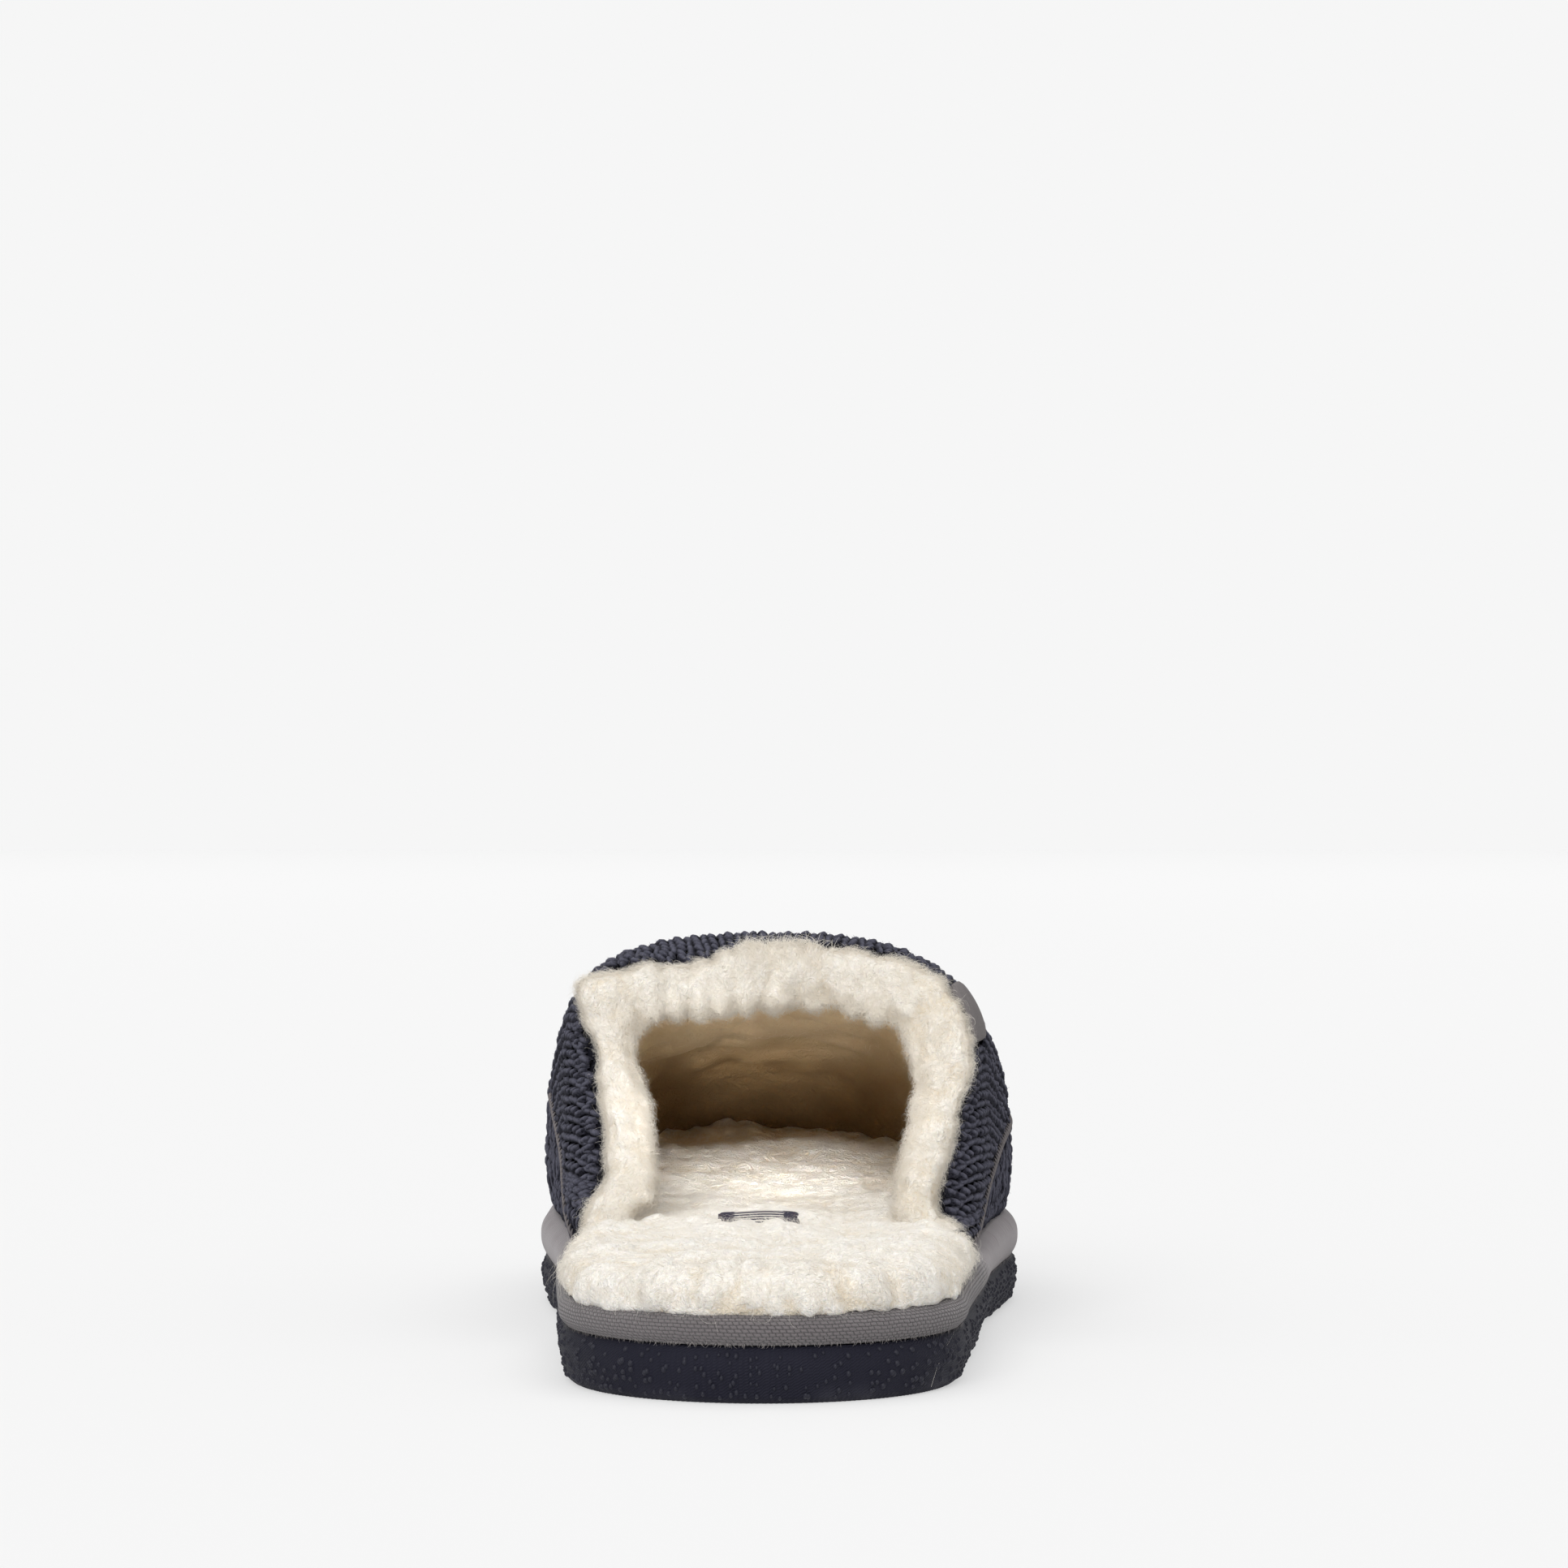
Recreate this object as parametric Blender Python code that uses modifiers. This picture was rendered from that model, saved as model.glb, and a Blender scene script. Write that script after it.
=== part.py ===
"""Slip-on slipper for the right foot: knitted vamp, fleece lining and insole, taped platform, rubber outsole.

Metres, +Z up. The toe points along +Y, the outer side of the foot is +X and the outsole stands on Z 0.
Every wall comes from the same plan of the sole and the same sections of the last.
"""
import math
from collections import namedtuple

import bmesh
import bpy
import numpy as np

# Overall sizes
LENGTH = 0.283          # outsole, heel to toe
GAP = 0.0003            # between two pieces that touch

# Plan of the sole, a row per section from the heel (0) to the toe (1)
# axis: how far the middle stands to the outer side; half: half width of the outsole's top edge
# pad: how far the insole stays inside that edge
Plan = namedtuple("Plan", "station axis half pad")
PLAN = (
    Plan(0.000, -0.0030, 0.0395, 0.0018),
    Plan(0.150, -0.0030, 0.0395, 0.0018),
    Plan(0.240, -0.0026, 0.0413, 0.0026),
    Plan(0.325, -0.0019, 0.0432, 0.0038),
    Plan(0.368, -0.0015, 0.0441, 0.0094),
    Plan(0.430, -0.0011, 0.0452, 0.0096),
    Plan(0.490, -0.0008, 0.0464, 0.0082),
    Plan(0.600, -0.0005, 0.0503, 0.0070),
    Plan(0.680, 0.0000, 0.0530, 0.0070),
    Plan(0.760, -0.0004, 0.0532, 0.0070),
    Plan(1.000, -0.0075, 0.0532, 0.0070),
)
HEEL_CAP, HEEL_POWER = 0.150, 2.0      # length and roundness of the heel's end of the plan
TOE_CAP, TOE_POWER = 0.300, 2.15       # the same for the toe's end
SPINE_START, SPINE_END = 0.14, 0.80    # where the middle line of the plan starts and ends
PAIRS = 38                             # points on each side of the plan

# Heights of the sole
HEEL_RUBBER, BALL_RUBBER = 0.0108, 0.0104     # outsole
HEEL_ROLL, BALL_ROLL = 0.0065, 0.0095         # taped platform
PILE = 0.0080                                 # fleece of the insole
SPRING_START, TOE_SPRING = 0.70, 0.0090
ARCH_START, ARCH_END, ARCH_RELIEF = 0.33, 0.55, 0.0022
WAIST_START, WAIST_END, WAIST_INSET = 0.24, 0.64, 0.0010

# Sides of the sole pieces from their bottom up: share of the height, inset from the outsole's top edge
Side = namedtuple("Side", "share inset")
RUBBER_SIDE = (Side(0.00, 0.0019), Side(0.07, 0.0009), Side(0.22, 0.0004), Side(0.90, 0.0), Side(1.00, 0.0006))
ROLL_SIDE = (Side(0.00, 0.0005), Side(0.20, -0.0006), Side(0.45, -0.0010), Side(0.70, -0.0006),
             Side(0.88, 0.0006), Side(1.00, 0.0022))
PILE_SIDE = (Side(0.00, 0.0004), Side(0.28, -0.0010), Side(0.58, -0.0006), Side(0.84, 0.0014), Side(0.97, 0.0045))
PILE_RINGS = (0.80, 0.62, 0.44, 0.26, 0.10)

# Sections of the last, a row per station
# ridge: height of the instep line; inner, outer: squareness of the wall on each side of it
Last = namedtuple("Last", "station ridge inner outer")
LAST = (
    Last(0.34, 0.0842, 9.0, 6.2),
    Last(0.44, 0.0852, 9.0, 6.2),
    Last(0.52, 0.0853, 8.4, 5.8),
    Last(0.60, 0.0824, 6.6, 4.9),
    Last(0.69, 0.0766, 4.8, 4.1),
    Last(0.78, 0.0700, 3.7, 3.5),
    Last(0.88, 0.0634, 3.2, 3.1),
    Last(1.00, 0.0580, 3.0, 3.0),
)
CROWN = 2.3                        # roundness of the section over the ridge
TOE_CENTRE = 0.80                  # the sections fan out around the toe from here
SIDE_INSET = 0.0003                # widest part of the vamp inside the outsole's top edge
FOOT_TUCK, TUCK_SHARE = 0.0018, 0.22
DRAW_REACH = 0.017                 # the wall turns in over this length behind the collar

# Collar, a row per step up the side: climb 0 at the sole and 1 on the ridge
# inner, outer: how far the edge is drawn in; inner_pile, outer_pile: extra fleece, on each side
Collar = namedtuple("Collar", "climb station inner outer inner_pile outer_pile")
COLLAR = (
    Collar(0.00, 0.372, 0.0028, 0.0020, 0.0000, 0.0000),
    Collar(0.10, 0.382, 0.0078, 0.0084, 0.0000, 0.0000),
    Collar(0.20, 0.393, 0.0088, 0.0070, 0.0000, 0.0006),
    Collar(0.30, 0.405, 0.0082, 0.0044, 0.0000, 0.0022),
    Collar(0.40, 0.419, 0.0060, 0.0010, 0.0004, 0.0036),
    Collar(0.50, 0.435, 0.0022, 0.0005, 0.0012, 0.0034),
    Collar(0.60, 0.450, 0.0014, 0.0004, 0.0020, 0.0032),
    Collar(0.74, 0.469, 0.0046, 0.0012, 0.0030, 0.0046),
    Collar(0.88, 0.481, 0.0042, 0.0018, 0.0040, 0.0056),
    Collar(1.00, 0.484, 0.0026, 0.0026, 0.0056, 0.0056),
)
PILE_REACH = 0.16                  # the extra fleece thins out over this share of the foot
KNIT = 0.0025                      # wall of the vamp
LINING_OUT, LINING_IN, LOW_SLACK = 0.0031, 0.0115, 0.0018
ROLL_REACH = 0.0050                # how far the fleece rolls out past the knit at the collar
LOCK_PITCH, LOCK_RISE = 0.0095, 0.0011

# Tab on the outer side and the label
TAB_LOW, TAB_HIGH, TAB_LENGTH, TAB_THICK = 0.43, 0.565, 0.030, 0.0011
LABEL_X, LABEL_STATION = -0.0042, 0.345
LABEL_WIDE, LABEL_LONG, LABEL_THICK = 0.017, 0.012, 0.0008


def along(rows, column, at):
    """A smooth curve through one column of a table, read at stations."""
    place = np.array([row[0] for row in rows])
    value = np.array([getattr(row, column) for row in rows])
    slope = np.gradient(value, place)
    at = np.clip(at, place[0], place[-1])
    i = np.clip(np.searchsorted(place, at, side="right") - 1, 0, len(place) - 2)
    gap = place[i + 1] - place[i]
    s = (at - place[i]) / gap
    start = (1 + 2 * s) * (1 - s) ** 2 * value[i] + s * (1 - s) ** 2 * gap * slope[i]
    return start + s * s * (3 - 2 * s) * value[i + 1] + s * s * (s - 1) * gap * slope[i + 1]


def cap(share, power):
    """Rounded end of the plan: 0 at the tip and 1 where it meets the side."""
    return (1 - (1 - np.clip(share, 0, 1)) ** power) ** (1 / power)


def edge(station, side):
    """The outsole's top edge in plan, on the inner (-1) or outer (1) side."""
    half = along(PLAN, "half", station)
    half = half * cap(station / HEEL_CAP, HEEL_POWER) * cap((1 - station) / TOE_CAP, TOE_POWER)
    x = along(PLAN, "axis", station) + side * half
    return np.stack([x, (station - 0.5) * LENGTH + 0 * x], axis=-1)


def middle(station, start=SPINE_START, end=SPINE_END):
    """The middle line of the plan, ending short of heel and toe."""
    held = np.clip(station, start, end)
    x = along(PLAN, "axis", held)
    return np.stack([x, (held - 0.5) * LENGTH], axis=-1)


def bump(station, start, end):
    """0 outside a stretch of the sole and 1 in its middle."""
    share = np.clip((station - start) / (end - start), 0, 1)
    return np.sin(math.pi * share) ** 2


def blend(station, first, last):
    """From the heel's value to the ball's."""
    share = np.clip((station - 0.25) / 0.40, 0, 1)
    return first + (last - first) * share * share * (3 - 2 * share)


def spring(station):
    """Rise of the toe: it curves up as far as the end of the middle line, then runs straight."""
    curved = np.clip(station, SPRING_START, SPINE_END) - SPRING_START
    straight = np.clip(station - SPINE_END, 0, 1)
    bend = SPINE_END - SPRING_START
    return TOE_SPRING * (curved ** 2 + 2 * bend * straight) / (bend ** 2 + 2 * bend * (1 - SPINE_END))


def rubber_top(station):
    return blend(station, HEEL_RUBBER, BALL_RUBBER) + spring(station)


def roll_top(station):
    return rubber_top(station) + GAP + blend(station, HEEL_ROLL, BALL_ROLL)


def locks(x, y):
    """Clumps of the pile, 0 to 1."""
    wave = np.sin(2 * math.pi * x / LOCK_PITCH + 1.2 * np.sin(2.1 * math.pi * y / LOCK_PITCH))
    cross = np.cos(2 * math.pi * y / (1.15 * LOCK_PITCH) + 1.1 * np.sin(1.7 * math.pi * x / LOCK_PITCH))
    return 0.5 + 0.25 * (wave + cross)


# The plan as one ring of points: up the inner side to the toe and back down the outer side
turn = np.linspace(0, math.pi, PAIRS + 1)
up_stations = (1 - np.cos(turn)) / 2
STATIONS = np.concatenate([up_stations, up_stations[-2:0:-1]])
SIDES = np.concatenate([-np.ones(PAIRS + 1), np.ones(PAIRS - 1)])
OUTLINE = edge(STATIONS, SIDES)
along_edge = np.roll(OUTLINE, -1, axis=0) - np.roll(OUTLINE, 1, axis=0)
along_edge /= np.linalg.norm(along_edge, axis=1)[:, None]
OUTWARD = np.stack([-along_edge[:, 1], along_edge[:, 0]], axis=1)


def ring(inset, height, share=1.0):
    """The plan moved in by inset, then drawn to its middle line, at a height for each station."""
    xy = OUTLINE - OUTWARD * np.broadcast_to(inset, STATIONS.shape)[:, None]
    xy = middle(STATIONS) + share * (xy - middle(STATIONS))
    return np.column_stack([xy, height(np.clip(xy[:, 1] / LENGTH + 0.5, 0, 1))])


def finish(name, bm, colour, roughness):
    """Weld, face outwards and put a built mesh in the scene as one piece."""
    bmesh.ops.remove_doubles(bm, verts=bm.verts, dist=1e-5)
    bmesh.ops.dissolve_degenerate(bm, dist=1e-6, edges=bm.edges)
    bmesh.ops.recalc_face_normals(bm, faces=bm.faces)
    bmesh.ops.triangulate(bm, faces=bm.faces)
    mesh = bpy.data.meshes.new(name)
    bm.to_mesh(mesh)
    bm.free()
    mesh.shade_smooth()
    mesh.set_sharp_from_angle(angle=math.radians(50))
    piece = bpy.data.objects.new(name, mesh)
    slipper.objects.link(piece)
    material = bpy.data.materials.new(name)
    material.use_nodes = True
    shader = material.node_tree.nodes["Principled BSDF"]
    shader.inputs["Base Color"].default_value = (*colour, 1.0)
    shader.inputs["Roughness"].default_value = roughness
    mesh.materials.append(material)
    return piece


def skin(bm, grid, closed=False):
    """Faces over a grid of points, rows by columns."""
    rows = [[bm.verts.new(point) for point in row] for row in grid]
    for low, high in zip(rows, rows[1:]):
        count = len(low)
        for i in range(count if closed else count - 1):
            j = (i + 1) % count
            bm.faces.new((low[i], low[j], high[j], high[i]))
    return rows


for old in list(bpy.data.objects):
    bpy.data.objects.remove(old, do_unlink=True)
slipper = bpy.data.collections.new("slipper")
bpy.context.scene.collection.children.link(slipper)

# Outsole: tapered side, raised waist and toe spring
waist = WAIST_INSET * bump(STATIONS, WAIST_START, WAIST_END)


def rubber_height(share):
    """Height of a level of the outsole's side; the bottom lifts in the arch."""
    def height(station):
        bottom = spring(station) + ARCH_RELIEF * bump(station, ARCH_START, ARCH_END)
        return bottom + share * (rubber_top(station) - bottom)
    return height


levels = [ring(RUBBER_SIDE[0].inset + waist, rubber_height(0), 0.0)]
levels += [ring(row.inset + waist * (1 - row.share), rubber_height(row.share)) for row in RUBBER_SIDE]
levels.append(ring(RUBBER_SIDE[-1].inset, rubber_height(1), 0.0))
bm = bmesh.new()
skin(bm, levels, closed=True)
finish("outsole", bm, (0.024, 0.024, 0.035), 0.62)

# Platform: footbed wrapped in woven tape, a roll that stands out past the outsole


def roll_height(share):
    """Height of a level of the platform's side."""
    def height(station):
        bottom = rubber_top(station) + GAP
        return bottom + share * (roll_top(station) - bottom)
    return height


levels = [ring(ROLL_SIDE[0].inset, roll_height(0), 0.0)]
levels += [ring(row.inset, roll_height(row.share)) for row in ROLL_SIDE]
levels.append(ring(ROLL_SIDE[-1].inset, roll_height(1), 0.0))
bm = bmesh.new()
skin(bm, levels, closed=True)
finish("platform", bm, (0.20, 0.18, 0.18), 0.9)

# Insole: fleece sock, its pile clumped in locks


def pile_height(share):
    """Height of a level of the insole's side."""
    def height(station):
        return roll_top(station) + GAP + share * PILE
    return height


pad = along(PLAN, "pad", STATIONS)
levels = [ring(pad, pile_height(0), 0.0)]
levels += [ring(pad + row.inset, pile_height(row.share)) for row in PILE_SIDE]
label_y = (LABEL_STATION - 0.5) * LENGTH
for share in PILE_RINGS + (0.0,):
    level = ring(pad + PILE_SIDE[-1].inset, pile_height(1.0), share)
    clear = np.hypot(level[:, 0] - LABEL_X, level[:, 1] - label_y) / 0.020
    free = np.clip(level[:, 1] / LENGTH + 0.5, 0, 1) < 0.36
    level[:, 2] += LOCK_RISE * locks(level[:, 0], level[:, 1]) * np.clip(clear - 0.6, 0, 1) * free
    levels.append(level)
bm = bmesh.new()
skin(bm, levels, closed=True)
finish("insole", bm, (0.84, 0.79, 0.70), 0.95)

# Angles around a section, spread evenly by the length of the wall at the collar
spread = np.linspace(0, math.pi / 2, 1441)


def even_walk(square):
    """Share of the wall's length from the foot to each angle."""
    x = 0.046 * np.cos(spread) ** (2 / CROWN)
    z = 0.062 * np.sin(spread) ** (2 / square)
    length = np.concatenate([[0], np.cumsum(np.hypot(np.diff(x), np.diff(z)))])
    return length / length[-1]


inner_walk, outer_walk = even_walk(LAST[1].inner), even_walk(LAST[1].outer)


def vamp(station, side, climb, inset):
    """A point of the last: station along the foot, side -1 or 1, climb 0 at the sole and 1 on the ridge.

    inset goes in from the outer face.
    """
    station, side, climb = np.broadcast_arrays(station, side, climb)
    angle = np.where(side < 0, np.interp(climb, inner_walk, spread), np.interp(climb, outer_walk, spread))
    power = np.where(side < 0, along(LAST, "inner", station), along(LAST, "outer", station))
    out = np.clip(np.cos(angle), 0, 1) ** (2 / CROWN)
    rise = np.sin(angle) ** (2 / power)
    foot = edge(station, side)
    centre = middle(station, 0.0, TOE_CENTRE)
    reach = np.linalg.norm(foot - centre, axis=-1)
    way = (foot - centre) / reach[..., None]
    behind = np.clip(1 - (station - along(COLLAR, "station", climb)) * LENGTH / DRAW_REACH, 0, 1) ** 2
    drawn = np.where(side < 0, along(COLLAR, "inner", climb), along(COLLAR, "outer", climb)) * behind
    tuck = FOOT_TUCK * np.clip(1 - rise / TUCK_SHARE, 0, 1) ** 2
    radius = out * (reach - SIDE_INSET - inset) - tuck - drawn * np.cos(angle)
    xy = centre + way * radius[..., None]
    held = np.clip(xy[..., 1] / LENGTH + 0.5, 0, 1)
    low = roll_top(held) + GAP
    high = along(LAST, "ridge", held) - inset
    z = low + (high - low) * rise - drawn * np.sin(angle)
    return np.concatenate([xy, z[..., None]], axis=-1)


def foot_climb(station, side, inset, floor):
    """Climb at which a wall stands a given height above the platform."""
    low, high = 0.0 * station, 0.0 * station + 0.9
    for _ in range(24 if floor else 0):
        half = (low + high) / 2
        point = vamp(station, side, half, inset)
        under = point[..., 2] < roll_top(np.clip(point[..., 1] / LENGTH + 0.5, 0, 1)) + GAP + floor
        low, high = np.where(under, half, low), np.where(under, high, half)
    return high if floor else low


def depth_of(inset):
    """The same inset all over a wall."""
    return lambda station, side, climb: inset + 0.0 * station


def wall(inset, steps, fans, climbs, floor=0.0):
    """Grids over the last: one from the collar to the toe's centre, one around the toe.

    Both run across from the inner foot over the ridge to the outer foot or around the toe.
    inset is a function of the station, the side and the climb; floor lifts the wall's foot above the platform.
    """
    share = np.concatenate([climbs, climbs[-2::-1]])
    side = np.concatenate([-np.ones(len(climbs)), np.ones(len(climbs) - 1)])
    first = along(COLLAR, "station", 0.1)
    body = []
    for step in steps:
        start = np.full(len(side), first + (TOE_CENTRE - first) * step)
        lowest = foot_climb(start, side, inset(start, side, 0.1), floor)
        climb = lowest + (1 - lowest) * share
        rear = along(COLLAR, "station", climb)
        station = rear + (TOE_CENTRE - rear) * step
        body.append(vamp(station, side, climb, inset(station, side, climb)))
    around = TOE_CENTRE + (1 - TOE_CENTRE) * np.concatenate([fans, fans[-2::-1]])
    side = np.concatenate([-np.ones(len(fans)), np.ones(len(fans) - 1)])
    lowest = foot_climb(around, side, inset(around, side, 0.1), floor)
    toe = []
    for step in climbs:
        climb = lowest + (1 - lowest) * step
        toe.append(vamp(around, side, climb, inset(around, side, climb)))
    return body, toe


def solid_wall(piece, thickness, offset):
    """Give an open wall its thickness."""
    shell = piece.modifiers.new("wall", "SOLIDIFY")
    shell.thickness = thickness
    shell.offset = offset
    shell.use_even_offset = True


def foot_line(body, toe):
    """The foot of a wall from the inner side of the collar around the toe to the outer side."""
    inner, outer = [row[0] for row in body], [row[-1] for row in body]
    return inner + list(toe[0][1:-1]) + outer[::-1]


def hollow(outer, inner, collar):
    """Close an outer and an inner wall along the collar and underneath."""
    bm = bmesh.new()
    for grid in (*outer, *inner, collar):
        skin(bm, grid)
    skin(bm, [foot_line(*outer), foot_line(*inner)])
    return bm


# Upper: knitted vamp, one wall from the collar around the toe
steps = np.linspace(0, 1, 14) ** 1.25
fans = np.sin(np.linspace(0, math.pi / 2, 10))
climbs = np.linspace(0, 1, 21)
outer = wall(depth_of(0.0), steps, fans, climbs)
inner = wall(depth_of(KNIT), steps, fans, climbs)
bm = hollow(outer, inner, [outer[0][0], inner[0][0]])
finish("upper", bm, (0.042, 0.043, 0.058), 0.95)

# Lining: fleece inside the vamp with its pile rolled out at the collar


def lining_back(station, side, climb):
    """Outer face of the lining, a little freer of the knit low down where the wall bends."""
    return LINING_OUT + LOW_SLACK * np.clip(1 - climb / 0.25, 0, 1) + 0.0 * station


def lining_depth(station, side, climb):
    """Inner face of the lining, deeper where the pile is thick behind the collar."""
    near = np.clip(1 - (station - along(COLLAR, "station", climb)) / PILE_REACH, 0, 1)
    extra = np.where(side < 0, along(COLLAR, "inner_pile", climb), along(COLLAR, "outer_pile", climb))
    return LINING_IN + near * near * extra


floor = PILE + GAP
steps = np.linspace(0, 1, 9) ** 1.2
fans = np.sin(np.linspace(0, math.pi / 2, 8))
climbs = np.linspace(0, 1, 25)
outer = wall(lining_back, steps, fans, climbs, floor)
inner = wall(lining_depth, steps, fans, climbs, floor)
over = wall(depth_of(GAP), steps[:1], fans, climbs, floor)[0][0]
collar_out, collar_in = outer[0][0], inner[0][0]
behind = np.array([0.0, 0.00045, 0.0])
half_wall, centre = (over - collar_in) / 2, (over + collar_in) / 2
run = np.concatenate([[0], np.cumsum(np.linalg.norm(np.diff(centre, axis=0), axis=1))])
ends = np.clip(np.minimum(run, run[-1] - run) / 0.010, 0.4, 1)
rolled = [collar_out, collar_out - behind, over - behind]
for turn in np.radians((30, 60, 90, 120, 150)):
    lock = LOCK_RISE * np.sin(2 * math.pi * run / LOCK_PITCH + 2.0 * np.sin(run / 0.017) + turn)
    row = centre + half_wall * math.cos(turn) - behind
    row[:, 1] -= (ROLL_REACH + lock) * math.sin(turn) * ends
    rolled.append(row)
rolled.append(collar_in)
bm = hollow(outer, inner, rolled)
for column in (0, -1):
    bm.faces.new([bm.verts.new(row[column]) for row in rolled])
finish("lining", bm, (0.84, 0.79, 0.70), 0.95)

# Side tab: felt, cut to the vamp's own surface at the collar
lengths = np.linspace(0, 1, 7)
patch = []
for share in lengths:
    across = np.linspace(-1, 1, 6) * (1 if share < 0.75 else math.sqrt(max(0.0, 1 - ((share - 0.75) / 0.27) ** 2)))
    climb = (TAB_LOW + TAB_HIGH) / 2 + (TAB_HIGH - TAB_LOW) / 2 * across
    station = along(COLLAR, "station", climb) + share * TAB_LENGTH / LENGTH
    patch.append(vamp(station, 1.0, climb, -GAP))
bm = bmesh.new()
skin(bm, patch)
tab = finish("side_tab", bm, (0.23, 0.21, 0.205), 0.85)
solid_wall(tab, TAB_THICK, 1.0 if tab.data.polygons[0].normal.x > 0 else -1.0)

# Label: woven, laid on the insole
bm = bmesh.new()
bmesh.ops.create_cube(bm, size=1.0)
bmesh.ops.scale(bm, verts=bm.verts, vec=(LABEL_WIDE, LABEL_LONG, LABEL_THICK))
label_z = float(roll_top(np.array(LABEL_STATION + LABEL_LONG / LENGTH))) + GAP + PILE + GAP + LABEL_THICK / 2
bmesh.ops.translate(bm, verts=bm.verts, vec=(LABEL_X, label_y, label_z))
finish("label", bm, (0.03, 0.03, 0.05), 0.8)
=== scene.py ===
import math
from collections import namedtuple

import bpy
import numpy as np
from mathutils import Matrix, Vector


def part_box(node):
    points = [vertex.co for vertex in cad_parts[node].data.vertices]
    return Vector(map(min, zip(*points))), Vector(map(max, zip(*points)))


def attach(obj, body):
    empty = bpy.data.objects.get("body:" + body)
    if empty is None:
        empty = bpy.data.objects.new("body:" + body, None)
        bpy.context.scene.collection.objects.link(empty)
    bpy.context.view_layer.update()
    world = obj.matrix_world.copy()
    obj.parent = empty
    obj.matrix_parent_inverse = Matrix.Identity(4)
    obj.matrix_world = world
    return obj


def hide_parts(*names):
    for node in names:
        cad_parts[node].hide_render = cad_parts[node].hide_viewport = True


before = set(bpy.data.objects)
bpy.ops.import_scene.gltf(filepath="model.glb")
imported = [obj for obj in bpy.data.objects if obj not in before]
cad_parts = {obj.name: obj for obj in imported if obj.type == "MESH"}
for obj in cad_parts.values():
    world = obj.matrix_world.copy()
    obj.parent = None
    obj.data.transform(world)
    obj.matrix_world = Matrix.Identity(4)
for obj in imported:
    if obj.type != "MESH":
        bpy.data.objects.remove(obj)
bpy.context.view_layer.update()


# Outsole: one flat unit of foamed rubber in dark navy, moulded with small raised dots all over its side
# and a finely notched lower edge. Its plan is that of the whole slipper, so the sole's curves start here.
LENGTH = 0.283
GAP = 0.0003
AROUND = 1200
HEEL_CAP, HEEL_POWER = 0.150, 2.0
TOE_CAP, TOE_POWER = 0.300, 2.15
SPINE_START, SPINE_END = 0.14, 0.80
HEEL_RUBBER, BALL_RUBBER = 0.0108, 0.0104
SPRING_START, TOE_SPRING = 0.70, 0.0090
ARCH_START, ARCH_END, ARCH_RELIEF = 0.33, 0.55, 0.0022
WAIST_START, WAIST_END, WAIST_INSET = 0.24, 0.64, 0.0010
NOTCH_PITCH, NOTCH_DEPTH = 0.0012, 0.00035
DOT_PITCH, DOT_RADIUS, DOT_RISE = 0.0020, 0.00050, 0.00050
DOT_BAND, DOT_SIDES = 0.0105, 8
DOT_CHANCE, DOT_THINNING = 0.86, 0.40
GRAIN_PITCH = 0.00052
NAVY, NAVY_LIGHT = (0.0090, 0.0090, 0.0175, 1.0), (0.0145, 0.0145, 0.0255, 1.0)
NAVY_DUST, NAVY_WORN = (0.050, 0.050, 0.062, 1.0), (0.017, 0.017, 0.029, 1.0)

Plan = namedtuple("Plan", "station axis half pad")
PLAN = (
    Plan(0.000, -0.0030, 0.0395, 0.0018),
    Plan(0.150, -0.0030, 0.0395, 0.0018),
    Plan(0.240, -0.0026, 0.0413, 0.0026),
    Plan(0.325, -0.0019, 0.0432, 0.0038),
    Plan(0.368, -0.0015, 0.0441, 0.0094),
    Plan(0.430, -0.0011, 0.0452, 0.0096),
    Plan(0.490, -0.0008, 0.0464, 0.0082),
    Plan(0.600, -0.0005, 0.0503, 0.0070),
    Plan(0.680, 0.0000, 0.0530, 0.0070),
    Plan(0.760, -0.0004, 0.0532, 0.0070),
    Plan(1.000, -0.0075, 0.0532, 0.0070),
)
Side = namedtuple("Side", "share inset")
RUBBER_SIDE = (Side(0.00, 0.0019), Side(0.07, 0.0009), Side(0.22, 0.0004), Side(0.90, 0.0),
               Side(1.00, 0.0006))


def along(rows, column, at):
    """A smooth curve through one column of a table, read at places along its first column."""
    place = np.array([row[0] for row in rows])
    value = np.array([getattr(row, column) for row in rows])
    slope = np.gradient(value, place)
    at = np.clip(at, place[0], place[-1])
    i = np.clip(np.searchsorted(place, at, side="right") - 1, 0, len(place) - 2)
    gap = place[i + 1] - place[i]
    s = (at - place[i]) / gap
    start = (1 + 2 * s) * (1 - s) ** 2 * value[i] + s * (1 - s) ** 2 * gap * slope[i]
    return start + s * s * (3 - 2 * s) * value[i + 1] + s * s * (s - 1) * gap * slope[i + 1]


def cap(share, power):
    """Rounded end of the plan: 0 at the tip and 1 where it meets the side."""
    return (1 - (1 - np.clip(share, 0, 1)) ** power) ** (1 / power)


def edge(station, side):
    """The outsole's top edge in plan, on the inner (-1) or outer (1) side."""
    half = along(PLAN, "half", station)
    half = half * cap(station / HEEL_CAP, HEEL_POWER) * cap((1 - station) / TOE_CAP, TOE_POWER)
    x = along(PLAN, "axis", station) + side * half
    return np.stack([x, (station - 0.5) * LENGTH + 0 * x], axis=-1)


def middle(station, start=SPINE_START, end=SPINE_END):
    """The middle line of the plan, ending short of heel and toe."""
    held = np.clip(station, start, end)
    return np.stack([along(PLAN, "axis", held), (held - 0.5) * LENGTH], axis=-1)


def bump(station, start, end):
    """0 outside a stretch of the sole and 1 in its middle."""
    return np.sin(math.pi * np.clip((station - start) / (end - start), 0, 1)) ** 2


def ease(value, low, high):
    """0 below low, 1 above high and a soft step between them."""
    share = np.clip((value - low) / (high - low), 0, 1)
    return share * share * (3 - 2 * share)


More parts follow.
